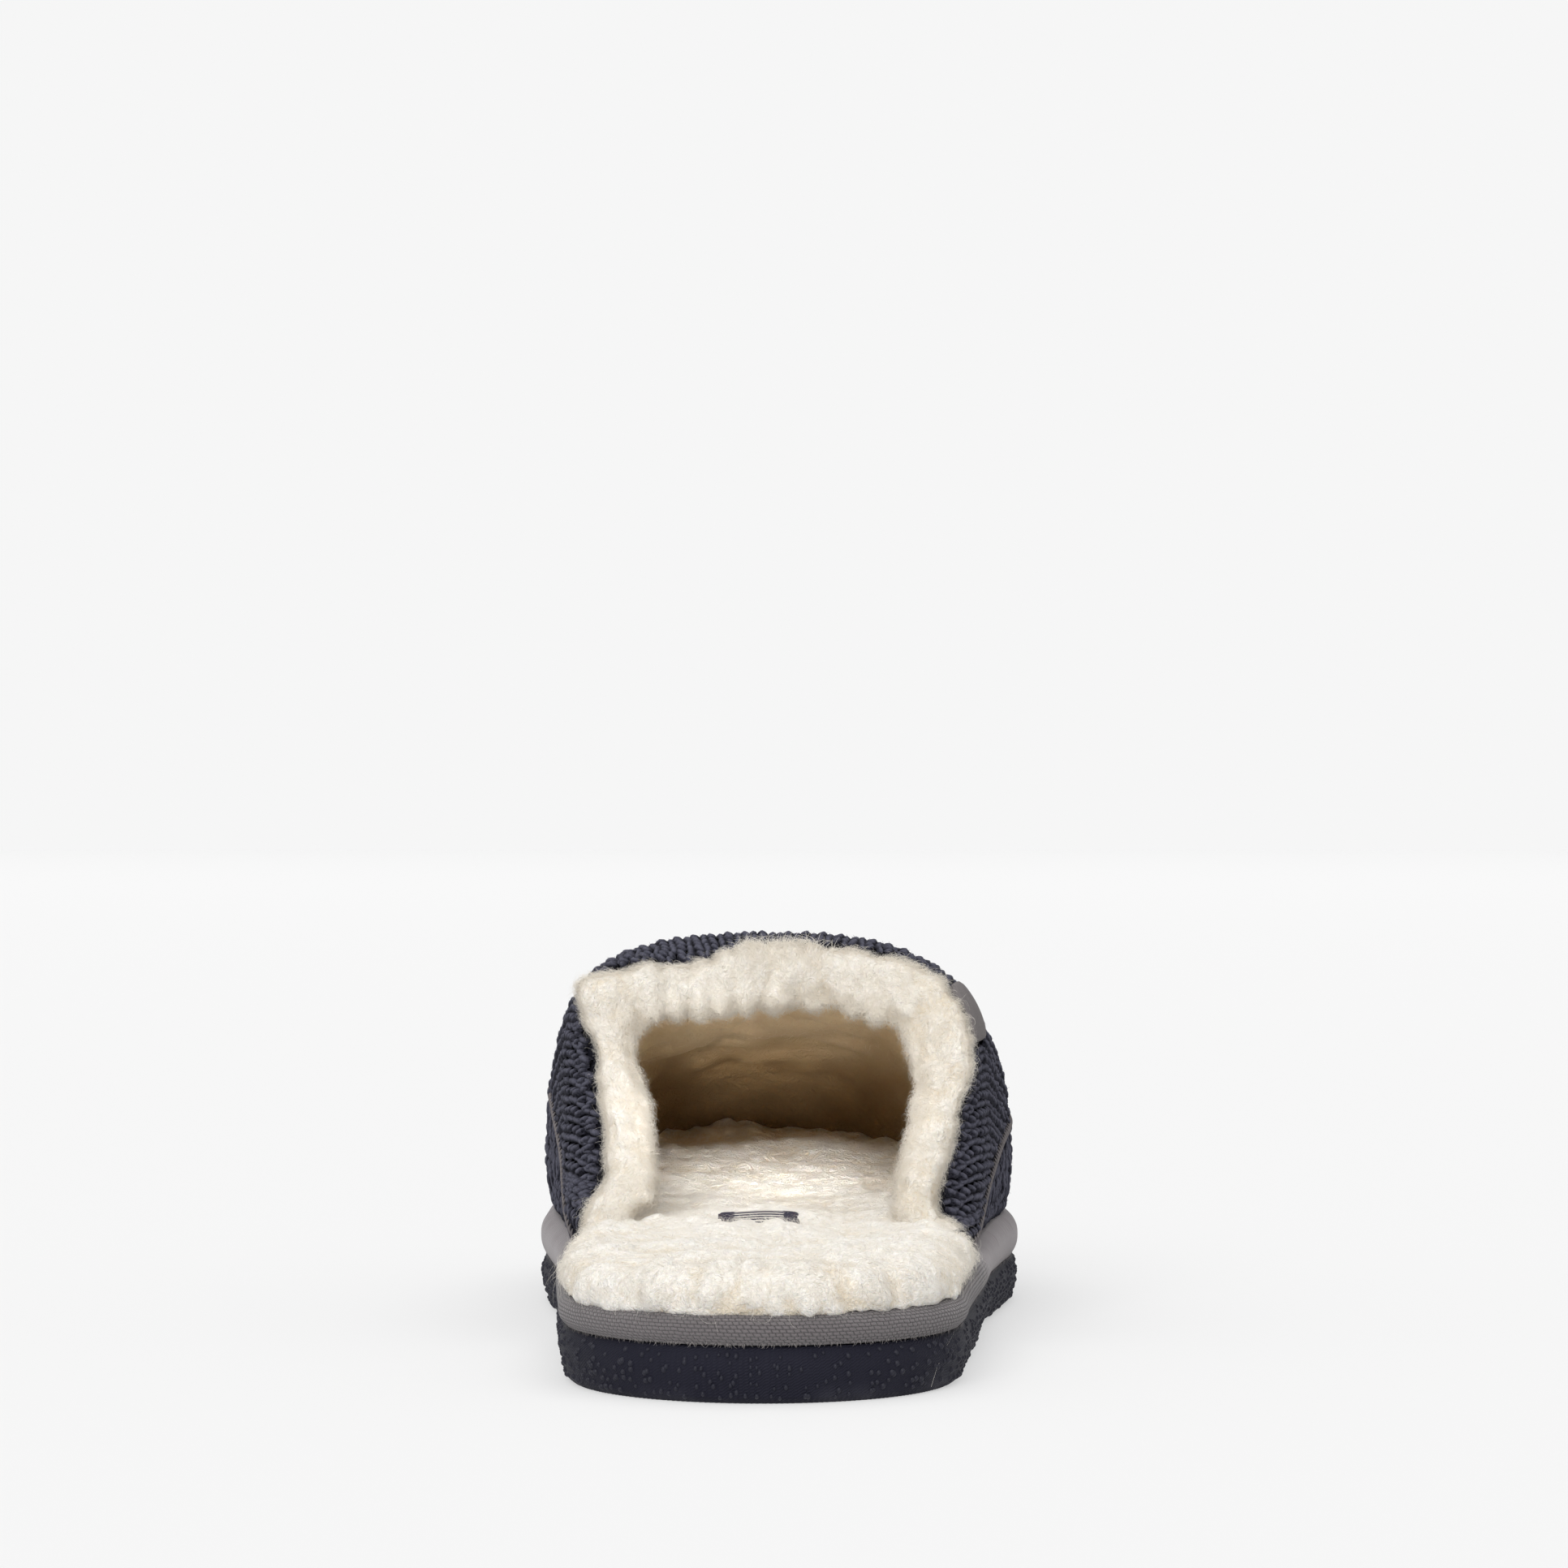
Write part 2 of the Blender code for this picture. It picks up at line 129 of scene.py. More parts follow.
def blend(station, first, last):
    """From the heel's value to the ball's."""
    return first + (last - first) * ease(station, 0.25, 0.65)


def spring(station):
    """Rise of the toe: it curves up as far as the end of the middle line, then runs straight."""
    curved = np.clip(station, SPRING_START, SPINE_END) - SPRING_START
    straight = np.clip(station - SPINE_END, 0, 1)
    bend = SPINE_END - SPRING_START
    return TOE_SPRING * (curved ** 2 + 2 * bend * straight) / (bend ** 2 + 2 * bend * (1 - SPINE_END))


def rubber_top(station):
    return blend(station, HEEL_RUBBER, BALL_RUBBER) + spring(station)


def station_of(y):
    return np.clip(y / LENGTH + 0.5, 0, 1)


def unit(vectors):
    return vectors / np.maximum(np.linalg.norm(vectors, axis=-1), 1e-12)[..., None]


def run_of(points):
    """Length walked along rows of points, from the first point of each."""
    steps = np.linalg.norm(np.diff(points, axis=-2), axis=-1)
    return np.concatenate([np.zeros_like(steps[..., :1]), np.cumsum(steps, axis=-1)], axis=-1)


# The plan's edge as evenly spaced points: up the inner side to the toe and back down the outer side
turn = np.linspace(0, math.pi, 3001)
up_stations = (1 - np.cos(turn)) / 2
traced = np.concatenate([edge(up_stations, -1.0), edge(up_stations[::-1], 1.0)[1:]])
traced_run = run_of(traced)
GIRTH = traced_run[-1]
WALK = np.linspace(0, GIRTH, AROUND, endpoint=False)
OUTLINE = np.column_stack([np.interp(WALK, traced_run, traced[:, k]) for k in (0, 1)])
forward = unit(np.roll(OUTLINE, -1, axis=0) - np.roll(OUTLINE, 1, axis=0))
OUTWARD = np.stack([-forward[:, 1], forward[:, 0]], axis=1)
STATION = station_of(OUTLINE[:, 1])
AXIS = middle(STATION)


def ring(inset, height, share=1.0):
    """The plan's edge moved in by inset, then drawn to its middle line, at a height for each station."""
    xy = OUTLINE - OUTWARD * np.broadcast_to(inset, len(OUTLINE))[:, None]
    xy = AXIS + share * (xy - AXIS)
    return np.column_stack([xy, height(station_of(xy[:, 1]))])


def level(ways):
    """Ways in plan as level ways in space."""
    return np.column_stack([ways, np.zeros(len(ways))])


def lattice(rows, columns, closed=False):
    """Faces over a grid of points, facing left of the columns' way as the rows go up."""
    low = np.arange(rows - 1)[:, None] * columns + np.arange(columns if closed else columns - 1)
    right = low + 1
    if closed:
        right[:, -1] -= columns
    return np.stack([right, low, low + columns, right + columns], axis=-1).reshape(-1, 4)


def lay_walk(levels, start=0):
    """Lengths across and up from one level, as a UV map in the order of a closed lattice's corners."""
    up = run_of(np.swapaxes(levels, 0, 1)).T
    up = np.column_stack([up, up[:, 0]])
    across = np.broadcast_to(np.append(WALK, GIRTH), up.shape)
    both = np.stack([across, up - up[start]], axis=-1)
    low, high = both[:-1], both[1:]
    return np.stack([low[:, 1:], low[:, :-1], high[:, :-1], high[:, 1:]], axis=2).reshape(-1, 2)


def put(name, points, faces, finish, slot, walk=None, normals=None, **marks):
    """Make one piece of the slipper from arrays of points and faces, and let it ride with the shoe."""
    mesh = bpy.data.meshes.new(name)
    mesh.from_pydata(points.reshape(-1, 3).tolist(), [], faces.tolist())
    mesh.shade_smooth()
    if walk is not None:
        mesh.uv_layers.new(name="walk").data.foreach_set("uv", walk.ravel())
    for mark, values in marks.items():
        mesh.attributes.new(mark, "FLOAT", "POINT").data.foreach_set("value", values.ravel())
    if normals is not None:
        mesh.normals_split_custom_set_from_vertices(normals.reshape(-1, 3).tolist())
    mesh.materials.append(finish)
    piece = bpy.data.objects.new(name, mesh)
    bpy.context.scene.collection.objects.link(piece)
    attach(piece, "root")
    return piece


class Wire:
    """One socket of a material's nodes. Sums with it add Math nodes to the same material."""

    def __init__(self, tree, socket=None):
        self.tree = tree
        self.socket = socket

    def node(self, kind, settings=None, sockets=None, outlet=0):
        """Add a node: settings first, then the values or links of its sockets."""
        made = self.tree.nodes.new("ShaderNode" + kind)
        for name, value in (settings or {}).items():
            setattr(made, name, value)
        for name, value in (sockets or {}).items():
            if isinstance(value, Wire):
                self.tree.links.new(value.socket, made.inputs[name])
            else:
                made.inputs[name].default_value = value
        return Wire(self.tree, made.outputs[outlet])

    def sum(self, operation, first, second=0.0):
        return self.node("Math", {"operation": operation}, {0: first, 1: second})

    def place(self):
        """Where a point of the surface lies, in metres."""
        return self.node("TexCoord", outlet="Object")

    def axis(self, number):
        return self.node("SeparateXYZ", {}, {0: self}, number)

    def walk(self):
        """Lengths across and up a grid, from its UV map."""
        lengths = self.node("UVMap", {"uv_map": "walk"})
        return lengths.axis(0), lengths.axis(1)

    def tip(self):
        """How far out of the fabric a point stands."""
        return self.node("Attribute", {"attribute_name": "tip"}, outlet="Fac")

    def mix(self, first, second):
        """A colour between two, by this value."""
        return self.node("Mix", {"data_type": "RGBA"}, {"Factor": self, 6: first, 7: second}, 2)

    def noise(self, place, scale, detail=2.0, roughness=0.5, curl=0.0):
        return self.node("TexNoise", {}, {"Vector": place, "Scale": scale, "Detail": detail,
                                          "Roughness": roughness, "Distortion": curl})

    def stretch(self, place, scale):
        """A place scaled differently along each axis."""
        return self.node("VectorMath", {"operation": "MULTIPLY"}, {0: place, 1: scale})

    def relief(self, height, depth, strength=1.0):
        """The surface's normal over a height that runs from 0 to 1, depth deep."""
        return self.node("Bump", {}, {"Height": height, "Distance": depth, "Strength": strength})

    def feed(self, **links):
        """Link values to the material's own shader, by the sockets' names with _ for spaces."""
        shader = self.tree.nodes["Principled BSDF"]
        for name, value in links.items():
            self.tree.links.new(value.socket, shader.inputs[name.replace("_", " ")])

    def __add__(self, other):
        return self.sum("ADD", self, other)

    def __sub__(self, other):
        return self.sum("SUBTRACT", self, other)

    def __rsub__(self, other):
        return self.sum("SUBTRACT", other, self)

    def __mul__(self, other):
        return self.sum("MULTIPLY", self, other)

    def __truediv__(self, other):
        return self.sum("DIVIDE", self, other)

    def __pow__(self, other):
        return self.sum("POWER", self, other)

    def __mod__(self, other):
        return self.sum("FLOORED_MODULO", self, other)

    def __abs__(self):
        return self.sum("ABSOLUTE", self)

    def step(self, low, high):
        """A soft step from 0 at low to 1 at high."""
        settings = {"interpolation_type": "SMOOTHSTEP"}
        return self.node("MapRange", settings, {"Value": self, "From Min": low, "From Max": high})

    __radd__ = __add__
    __rmul__ = __mul__


def finish_of(name, **constants):
    """A new material with constants on its shader, and a wire to add nodes with."""
    material = bpy.data.materials.new(name)
    material.use_nodes = True
    shader = material.node_tree.nodes["Principled BSDF"]
    for socket, value in constants.items():
        shader.inputs[socket.replace("_", " ")].default_value = value
    return material, Wire(material.node_tree)


waist = WAIST_INSET * bump(STATION, WAIST_START, WAIST_END)
notch = 0.5 + 0.5 * np.tanh(3 * np.sin(2 * math.pi * np.round(GIRTH / NOTCH_PITCH) * WALK / GIRTH))


def rubber_height(share):
    """Height of a level of the outsole's side, by the station; the bottom lifts in the arch."""
    def height(station):
        bottom = spring(station) + ARCH_RELIEF * bump(station, ARCH_START, ARCH_END)
        return bottom + share * (rubber_top(station) - bottom)
    return height


side_shares = np.concatenate([[0, 0.03, 0.07, 0.10], np.linspace(0.15, 0.9, 9), [0.95, 1.0]])
levels = [ring(RUBBER_SIDE[0].inset + waist, rubber_height(0), 0.0)]
for share in side_shares:
    cut = NOTCH_DEPTH * notch * (1 - ease(share, 0.06, 0.11))
    inset = along(RUBBER_SIDE, "inset", share) + waist * (1 - share) + cut
    levels.append(ring(inset, rubber_height(share)))
levels.append(ring(RUBBER_SIDE[-1].inset, rubber_height(1), 0.0))
levels = np.array(levels)

rubber, w = finish_of("navy_rubber", Roughness=0.62, Specular_IOR_Level=0.12)
place = w.place()
across, up = w.walk()
cloud = w.noise(place, 90.0, 3.0)
slanting = 0.5 * across + 0.87 * up
grain = 0.5 + 0.5 * w.sum("SINE", slanting * (2 * math.pi / GRAIN_PITCH) + 2 * cloud)
streak = 0.55 * grain + 0.45 * w.noise(place, 2200.0, 3.0, 0.6)
height = place.axis(2)
dust = (1 - height.step(0.0005, 0.0045)) * cloud.step(0.35, 0.75)
shade = cloud.mix(NAVY, NAVY_LIGHT)
w.feed(Base_Color=(dust * 0.45 + 0.10 * streak).mix(shade, NAVY_DUST))
w.feed(Roughness=0.54 + 0.2 * streak)
w.feed(Normal=w.relief(streak, 0.00020, 0.9))

outsole = put("outsole_unit", levels, lattice(len(levels), AROUND, True), rubber, "outsole_rubber",
              lay_walk(levels, 1))
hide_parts("outsole")

# Dots: oval pimples of the same rubber, scattered over the side and closer together near the floor
rng = np.random.default_rng(7)
rows = int(DOT_BAND / DOT_PITCH)
columns = int(GIRTH / DOT_PITCH)
dot_walk = (np.arange(columns)[None, :] + rng.uniform(0.05, 0.95, (rows, columns))) * DOT_PITCH
dot_share = 0.09 + 0.84 * (np.arange(rows)[:, None] + rng.uniform(0.1, 0.9, (rows, columns))) / rows
kept = (rng.random((rows, columns)) < DOT_CHANCE - DOT_THINNING * dot_share).ravel()
dot_walk, dot_share = dot_walk.ravel()[kept], dot_share.ravel()[kept]
column = np.clip((dot_walk / GIRTH * AROUND).astype(int), 0, AROUND - 1)
raised = 1 + np.interp(dot_share, side_shares, np.arange(len(side_shares)))
lower = np.floor(raised).astype(int)
mixed = (raised - lower)[:, None]
dot_place = levels[lower, column] * (1 - mixed) + levels[lower + 1, column] * mixed
dot_out, dot_across = level(OUTWARD[column]), level(forward[column])
dot_up = unit(levels[lower + 1, column] - levels[lower, column])
size = DOT_RADIUS * rng.uniform(0.72, 1.15, len(column))[:, None, None]
angle = np.linspace(0, 2 * math.pi, DOT_SIDES + 1)[:-1]
dome = [(0.0, 0.0, 1.0)]
for reach, rise in ((0.45, 0.86), (0.82, 0.45), (1.05, -0.15)):
    dome += [(reach * math.cos(a), 1.25 * reach * math.sin(a), rise) for a in angle]
dome = np.array(dome)
flat_dots = dome[:, 0, None] * dot_across[:, None] + dome[:, 1, None] * dot_up[:, None]
dots = dot_place[:, None] + size * flat_dots
dots += DOT_RISE * (size / DOT_RADIUS) * dome[:, 2, None] * dot_out[:, None]
dot_faces = [(0, 1 + i, 1 + (i + 1) % DOT_SIDES) for i in range(DOT_SIDES)]
for low in (1, 1 + DOT_SIDES):
    for i in range(DOT_SIDES):
        right = (i + 1) % DOT_SIDES
        dot_faces.append((low + i, low + DOT_SIDES + i, low + DOT_SIDES + right))
        dot_faces.append((low + i, low + DOT_SIDES + right, low + right))


def repeat(faces, count, points):
    """The faces of one small thing, repeated for a joined mesh of many."""
    return (np.array(faces)[None] + points * np.arange(count)[:, None, None]).reshape(-1, len(faces[0]))


worn, w = finish_of("worn_rubber", Roughness=0.5, Specular_IOR_Level=0.3)
w.feed(Base_Color=w.noise(w.place(), 400.0, 2.0).mix(NAVY, NAVY_WORN))
put("outsole_dots", dots, repeat(dot_faces, len(dots), len(dome)), worn, "outsole_rubber")


# Platform: foam footbed wrapped in a woven twill tape, which is turned over its edge and gathered along
# the seam with the upper. The tape's cut edge frays a little over the rubber.
HEEL_ROLL, BALL_ROLL = 0.0065, 0.0095
ROLL_SIDE = (Side(0.00, 0.0005), Side(0.20, -0.0006), Side(0.45, -0.0010), Side(0.70, -0.0006),
             Side(0.88, 0.0006), Side(1.00, 0.0022))
CELL_LONG, CELL_HIGH = 0.00135, 0.00072
GATHER_PITCH, GATHER_DEPTH = 0.0023, 0.00008
RIB_PITCH = 0.00075
TAPE_DARK, TAPE_LIGHT = (0.125, 0.111, 0.115, 1.0), (0.170, 0.153, 0.157, 1.0)
FRAY_COUNT, FRAY_LONG, FRAY_WIDE = 2200, 0.0007, 0.00009
FRAY_COLOUR = (0.24, 0.22, 0.217, 1.0)
UNDERLAP, TURN_IN = 0.004, 0.006


def roll_top(station):
    return rubber_top(station) + GAP + blend(station, HEEL_ROLL, BALL_ROLL)


def roll_height(share):
    """Height of a level of the platform's side, by the station."""
    def height(station):
        bottom = rubber_top(station) + GAP
        return bottom + share * (roll_top(station) - bottom)
    return height


def rumple(points, pitch, seed=0):
    """Soft noise from -1 to 1 at points, with lumps about one pitch apart."""
    cell = points / pitch
    corner = np.floor(cell).astype(np.int64)
    share = cell - corner
    share = share * share * (3 - 2 * share)
    total = np.zeros(len(points))
    for shift in np.ndindex(2, 2, 2):
        key = (corner + shift) @ np.array([73856093, 19349663, 83492791]) + 7919 * seed
        key = (key ^ (key >> 13)) * 1274126177
        weight = np.prod(np.where(shift, share, 1 - share), axis=1)
        total += weight * (((key ^ (key >> 16)) & 0xFFFF) / 32767.5 - 1)
    return total


wander = rumple(np.column_stack([WALK, 0 * WALK, 0 * WALK]), 0.006, 3)
wave = np.sin(2 * math.pi * WALK / GATHER_PITCH + 2.5 * wander)
levels = [ring(ROLL_SIDE[0].inset + UNDERLAP, roll_height(0))]
roll_shares = np.concatenate([[0.0, 0.06], np.linspace(0.12, 0.92, 15), [0.96, 1.0]])
for share in roll_shares:
    pull = GATHER_DEPTH * wave * ease(share, 0.45, 0.85) * ease(STATION, 0.34, 0.40) * (1 + 0.6 * wander)
    levels.append(ring(along(ROLL_SIDE, "inset", share) + pull, roll_height(share)))
levels += [ring(TURN_IN, roll_height(1.0)), ring(TURN_IN, roll_height(1.0), 0.0)]
levels = np.array(levels)

tape, w = finish_of("twill_tape", Roughness=0.9, Specular_IOR_Level=0.25, Sheen_Weight=0.25)
across, up = w.walk()
place = w.place()
wobble = w.noise(place, 260.0, 2.0)
row = up / CELL_HIGH + 0.6 * wobble
course = w.sum("FLOOR", row)
shift = across / CELL_LONG + 0.38 * course - 0.22 * (row % 1.0) + 0.9 * wobble
cross = 1 - 0.80 * abs(2 * (row % 1.0) - 1) ** 3.0
lengthwise = 1 - abs(2 * (shift % 1.0) - 1) ** 4.5
weave = cross * lengthwise
thread = w.noise(w.stretch(place, (1.0, 1.0, 2.0)), 2600.0, 2.0)
dye = w.noise(place, 55.0, 3.0).mix(TAPE_DARK, TAPE_LIGHT)
ribs = 0.5 + 0.5 * w.sum("SINE", 2 * math.pi * (across / RIB_PITCH + 0.8 * wobble))
front = place.axis(1).step(-0.050, -0.020)
cloth = weave + front * (0.22 * ribs - weave + 0.40)
# Painted shade and light: the cloth is painted darker in the weave's low places between the threads, and
# the tape at the front is painted lighter by about half. The thread noise adds random tone.
weave_shade_and_light = (0.34 + 0.72 * cloth.step(0.04, 0.55)) * (0.80 + 0.40 * thread) * (1 + 0.48 * front)
w.feed(Base_Color=w.node("Mix", {"data_type": "RGBA", "blend_type": "MULTIPLY"},
                         {"Factor": 1.0, 6: dye, 7: weave_shade_and_light}, 2))
w.feed(Normal=w.relief(cloth + 0.25 * thread, 0.00038))

platform = put("taped_platform", levels, lattice(len(levels), AROUND, True), tape, "woven_tape",
               lay_walk(levels))
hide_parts("platform")


def strands(name, paths, width, finish, slot, shade, spread=None):
    """Flat tapering fibres along paths, as one joined mesh, lit as if they faced along shade.

    Their broad side turns to spread, or else to shade too.
    """
    count, steps = paths.shape[:2]
    way = np.gradient(paths, axis=1)
    shade = np.broadcast_to(shade, paths.shape)
    flat = unit(np.cross(way, shade if spread is None else spread))
    taper = (1 - 0.8 * np.linspace(0, 1, steps) ** 1.5)[None, :, None]
    half = 0.5 * np.broadcast_to(width, (count,))[:, None, None] * taper * flat
    points = np.stack([paths - half, paths + half], axis=2)
    normals = np.repeat(unit(shade)[:, :, None], 2, axis=2)
    strip = [(2 * k, 2 * k + 1, 2 * k + 3, 2 * k + 2) for k in range(steps - 1)]
    tip = np.broadcast_to(np.linspace(0, 1, steps)[None, :, None], points.shape[:3])
    put(name, points, repeat(strip, count, 2 * steps), finish, slot, normals=normals, tip=tip)


fray, _ = finish_of("frayed_thread", Base_Color=FRAY_COLOUR, Roughness=0.9)
rng = np.random.default_rng(21)
column = rng.integers(0, AROUND, FRAY_COUNT)
out, side = level(OUTWARD[column]), level(forward[column])
start = levels[2][column] + 0.00012 * out + rng.normal(0, 0.00012, (FRAY_COUNT, 3))
drop = FRAY_LONG * rng.uniform(0.35, 1.3, FRAY_COUNT)[:, None]
slant = rng.normal(0, 0.7, FRAY_COUNT)[:, None] * side
slant = slant + 0.35 * rng.random(FRAY_COUNT)[:, None] * out
DOWN = np.array([0.0, 0.0, -1.0])
share = np.linspace(0, 1, 4)[None, :, None]
paths = start[:, None] + drop[:, None] * (share * DOWN + 0.6 * share ** 2 * slant[:, None])
strands("tape_fray", paths, FRAY_WIDE, fray, "woven_tape", out[:, None])


# Insole: a sock of deep cream fleece glued over the footbed and hanging a little over the tape. Its wool
# lies in soft lumps under fine curled fibres, with larger locks brushed apart over the back of the heel.
PILE_CUSHION = 0.0070
PILE_SIDE = (Side(-0.14, -0.0012), Side(0.00, -0.0014), Side(0.28, -0.0014), Side(0.58, -0.0006),
             Side(0.84, 0.0012), Side(0.97, 0.0042))
CREAM, CREASE_SHADE_BEIGE = (0.955, 0.915, 0.853, 1.0), (0.845, 0.740, 0.580, 1.0)
FIBRE_WIDE = 0.00005
INSOLE_FIBRES, INSOLE_FIBRE_LONG = 29000, 0.0036
HEEL_STRAYS, HEEL_STRAY_LONG = 240, 0.0075
CLING_POINTS, CLING_WIDE = 12, 0.00009
INSIDE_SHADE_TAN, DEEP_SHADE_BROWN = (0.90, 0.72, 0.47, 1.0), (0.36, 0.23, 0.11, 1.0)
FIBRE_CREAM, FIBRE_SHADE_TAN = (0.90, 0.86, 0.79, 1.0), (0.84, 0.72, 0.53, 1.0)
WOOL_CURLS, WOOL_CRIMPS, WOOL_CLOUDS, WOOL_RELIEF = 300.0, 1150.0, 130.0, 0.0019
SWELL_RANGE = 0.004
LABEL_BULGE, LABEL_REACH = 0.0017, 0.022
HEEL_PARTING = np.array([-0.002, -0.080])
LABEL_AT = np.array([-0.0042, -0.0439])
Lock = namedtuple("Lock", "start bend end half")
HEEL_LOCKS = (
    Lock((-0.0083, 0.0261), (-0.0129, 0.0223), (-0.0140, 0.0192), 0.0022),
    Lock((-0.0037, 0.0269), (-0.0056, 0.0215), (-0.0040, 0.0177), 0.0020),
    Lock((-0.0014, 0.0261), (-0.0002, 0.0215), (-0.0009, 0.0162), 0.0018),
    Lock((0.0009, 0.0254), (0.0040, 0.0215), (0.0069, 0.0168), 0.0020),
    Lock((0.0040, 0.0261), (0.0086, 0.0215), (0.0115, 0.0160), 0.0019),
    Lock((0.0150, 0.0250), (0.0190, 0.0220), (0.0205, 0.0180), 0.0024),
    Lock((0.0250, 0.0250), (0.0290, 0.0215), (0.0300, 0.0175), 0.0024),
    Lock((-0.0200, 0.0250), (-0.0235, 0.0220), (-0.0230, 0.0178), 0.0024),
    Lock((-0.0300, 0.0235), (-0.0318, 0.0198), (-0.0322, 0.0165), 0.0019),
)


def wool_of(name, inside=None, cream=CREAM):
    """Cream fleece, painted beige as shade in its creases and low places and in the hollows of its curls,
    crimps and clouds. Between two depths inside the shoe it turns tan, then brown deeper in, as painted
    shade.
    """
    finish, w = finish_of(name, Roughness=1.0, Specular_IOR_Level=0.05, Subsurface_Weight=0.15,
                          Subsurface_Radius=(1.0, 0.8, 0.55), Subsurface_Scale=0.0015)
    place = w.place()
    tip = w.tip()
    curl = w.noise(place, WOOL_CURLS, 2.0, 0.55, 2.6)
    crimp = w.noise(place, WOOL_CRIMPS, 3.0, 0.65, 1.2)
    cloud = w.noise(place, WOOL_CLOUDS, 2.0, 0.5, 1.5)
    # Painted shade: the wool turns beige where it stands low, in the hollows of the curls and crimps that
    # also make its bump, and in broad patches where the clouds run low.
    full = 0.5 * tip + 0.50 * curl + 0.42 * crimp + 0.42 * cloud
    colour = full.step(0.58, 1.04).mix(CREASE_SHADE_BEIGE, cream)
    if inside:
        depth = place.axis(1)
        # Painted shade deep inside the shoe: tan between the two depths, and brown beyond them.
        colour = depth.step(*inside).mix(colour, INSIDE_SHADE_TAN)
        colour = depth.step(inside[1], 2.1 * inside[1]).mix(colour, DEEP_SHADE_BROWN)
    w.feed(Base_Color=colour)
    w.feed(Normal=w.relief(0.62 * curl + 0.38 * crimp, WOOL_RELIEF))
    return finish


def pile_height(share):
    """Height of a level of the insole's cushion, by the station."""
    return lambda station: roll_top(station) + GAP + share * PILE_CUSHION


def smooth_normals(points, faces):
    corner = points[faces]
    facing = np.cross(corner[:, 2] - corner[:, 0], corner[:, 3] - corner[:, 1])
    normal = np.zeros_like(points)
    for k in range(4):
        np.add.at(normal, faces[:, k], facing)
    return unit(normal)


def tangle(points, pitch, seed):
    """Soft noise in three directions."""
    return np.stack([rumple(points, pitch, seed + k) for k in range(3)], axis=1)


def puffs(points, pitch, seed):
    """Soft lumps from 0 to 1, about one pitch across, with creases between them."""
    bent = points + 0.4 * pitch * tangle(points, 1.3 * pitch, seed + 50)
    return np.abs(rumple(bent, pitch, seed)) ** 0.8


def scatter(points, faces, count, weight, rng):
    """Random places on a mesh of quads, its normals there and the faces; weight favours some faces."""
    normal = smooth_normals(points, faces)
    corner = points[faces]
    area = np.linalg.norm(np.cross(corner[:, 2] - corner[:, 0], corner[:, 3] - corner[:, 1]), axis=1)
    face = rng.choice(len(faces), count, p=area * weight / (area * weight).sum())
    chosen = faces[face]
    s, t = rng.random((2, count, 1))
    parts = ((1 - s) * (1 - t), s * (1 - t), s * t, (1 - s) * t)
    where = sum(part * points[chosen[:, k]] for k, part in enumerate(parts))
    return where, unit(sum(part * normal[chosen[:, k]] for k, part in enumerate(parts))), face


def curls(roots, up, lean, length, stand, rng, loose=0.9, turn=4.0, steps=4):
    """Paths of fine fibres that rise from a surface along lean, more or less, and curl back over it."""
    count = len(roots)
    first = unit(lean - up * np.sum(lean * up, axis=1, keepdims=True))
    second = np.cross(up, first)
    share = np.linspace(0, 1, steps - 1)
    heading = rng.normal(0, loose, count)[:, None] + rng.uniform(-turn, turn, count)[:, None] * share
    climb = (stand * rng.uniform(0.3, 1.0, count) ** 1.5)[:, None] * (1 - 1.6 * share)
    heading, climb = heading[..., None], climb[..., None]
    way = np.cos(heading) * first[:, None] + np.sin(heading) * second[:, None]
    way = np.cos(climb) * way + np.sin(climb) * up[:, None]
    step = np.broadcast_to(length, count) * rng.uniform(0.6, 1.2, count) / (steps - 1)
    walked = np.cumsum(way * step[:, None, None], axis=1)
    return np.concatenate([roots[:, None], roots[:, None] + walked], axis=1)


def fibre_of(name, colour):
    """Fine wool that lets about half of its light through."""
    finish, w = finish_of(name, Base_Color=colour, Roughness=1.0, Specular_IOR_Level=0.0)
    through = w.node("BsdfTranslucent", {}, {"Color": colour})
    shader = Wire(w.tree, w.tree.nodes["Principled BSDF"].outputs[0])
    both = w.node("MixShader", {}, {0: 0.5, 1: shader, 2: through})
    w.tree.links.new(both.socket, w.tree.nodes["Material Output"].inputs["Surface"])
    return finish


fleece = wool_of("cream_fleece")
fibre_wool = fibre_of("cream_fibre", FIBRE_CREAM)


def grow(name, roots, up, lean, length, stand, rng, wide=FIBRE_WIDE, finish=fibre_wool, **bends):
    """Curled fibres shaded as part of the wool that they stand on, each turned a little its own way."""
    paths = curls(roots, up, lean, length, stand, rng, **bends)
    turned = up + 0.5 * rng.normal(0, 1, up.shape)
    turned = np.where(np.sum(turned * up, axis=1, keepdims=True) < 0, -turned, turned)
    strands(name, paths, wide, finish, "fleece", (up + 0.5 * turned)[:, None], turned[:, None])


def lock_relief(rows, points):
    """How far tapered locks stand up at points, and the way their wool lies, seen from behind."""
    raised, ways = np.zeros(len(points)), np.zeros_like(points)
    share = np.linspace(0, 1, 25)
    for row in rows:
        start, bend, end = map(np.array, (row.start, row.bend, row.end))
        s = share[:, None]
        curve = (1 - s) ** 2 * start + 2 * s * (1 - s) * bend + s * s * end
        way = unit(np.gradient(curve, axis=0))
        near = np.flatnonzero(np.linalg.norm(points[:, ::2] - bend, axis=1) < 0.014)
        apart = np.linalg.norm(points[near][:, None, ::2] - curve, axis=2)
        nearest = np.argmin(apart, axis=1)
        along_lock = share[nearest]
        half = row.half * np.sqrt(np.clip(1 - (2 * along_lock - 1) ** 4, 0, 1)) * (1.6 - 0.7 * along_lock)
        beside = apart.min(axis=1) / np.maximum(half, 1e-6)
        height = 0.45 * row.half * np.sqrt(np.clip(1 - beside ** 2, 0, 1))
        taller = height > raised[near]
        raised[near[taller]] = height[taller]
        ways[near[taller]] = np.column_stack([way[nearest, 0], 0 * nearest, way[nearest, 1]])[taller]
    return raised, ways


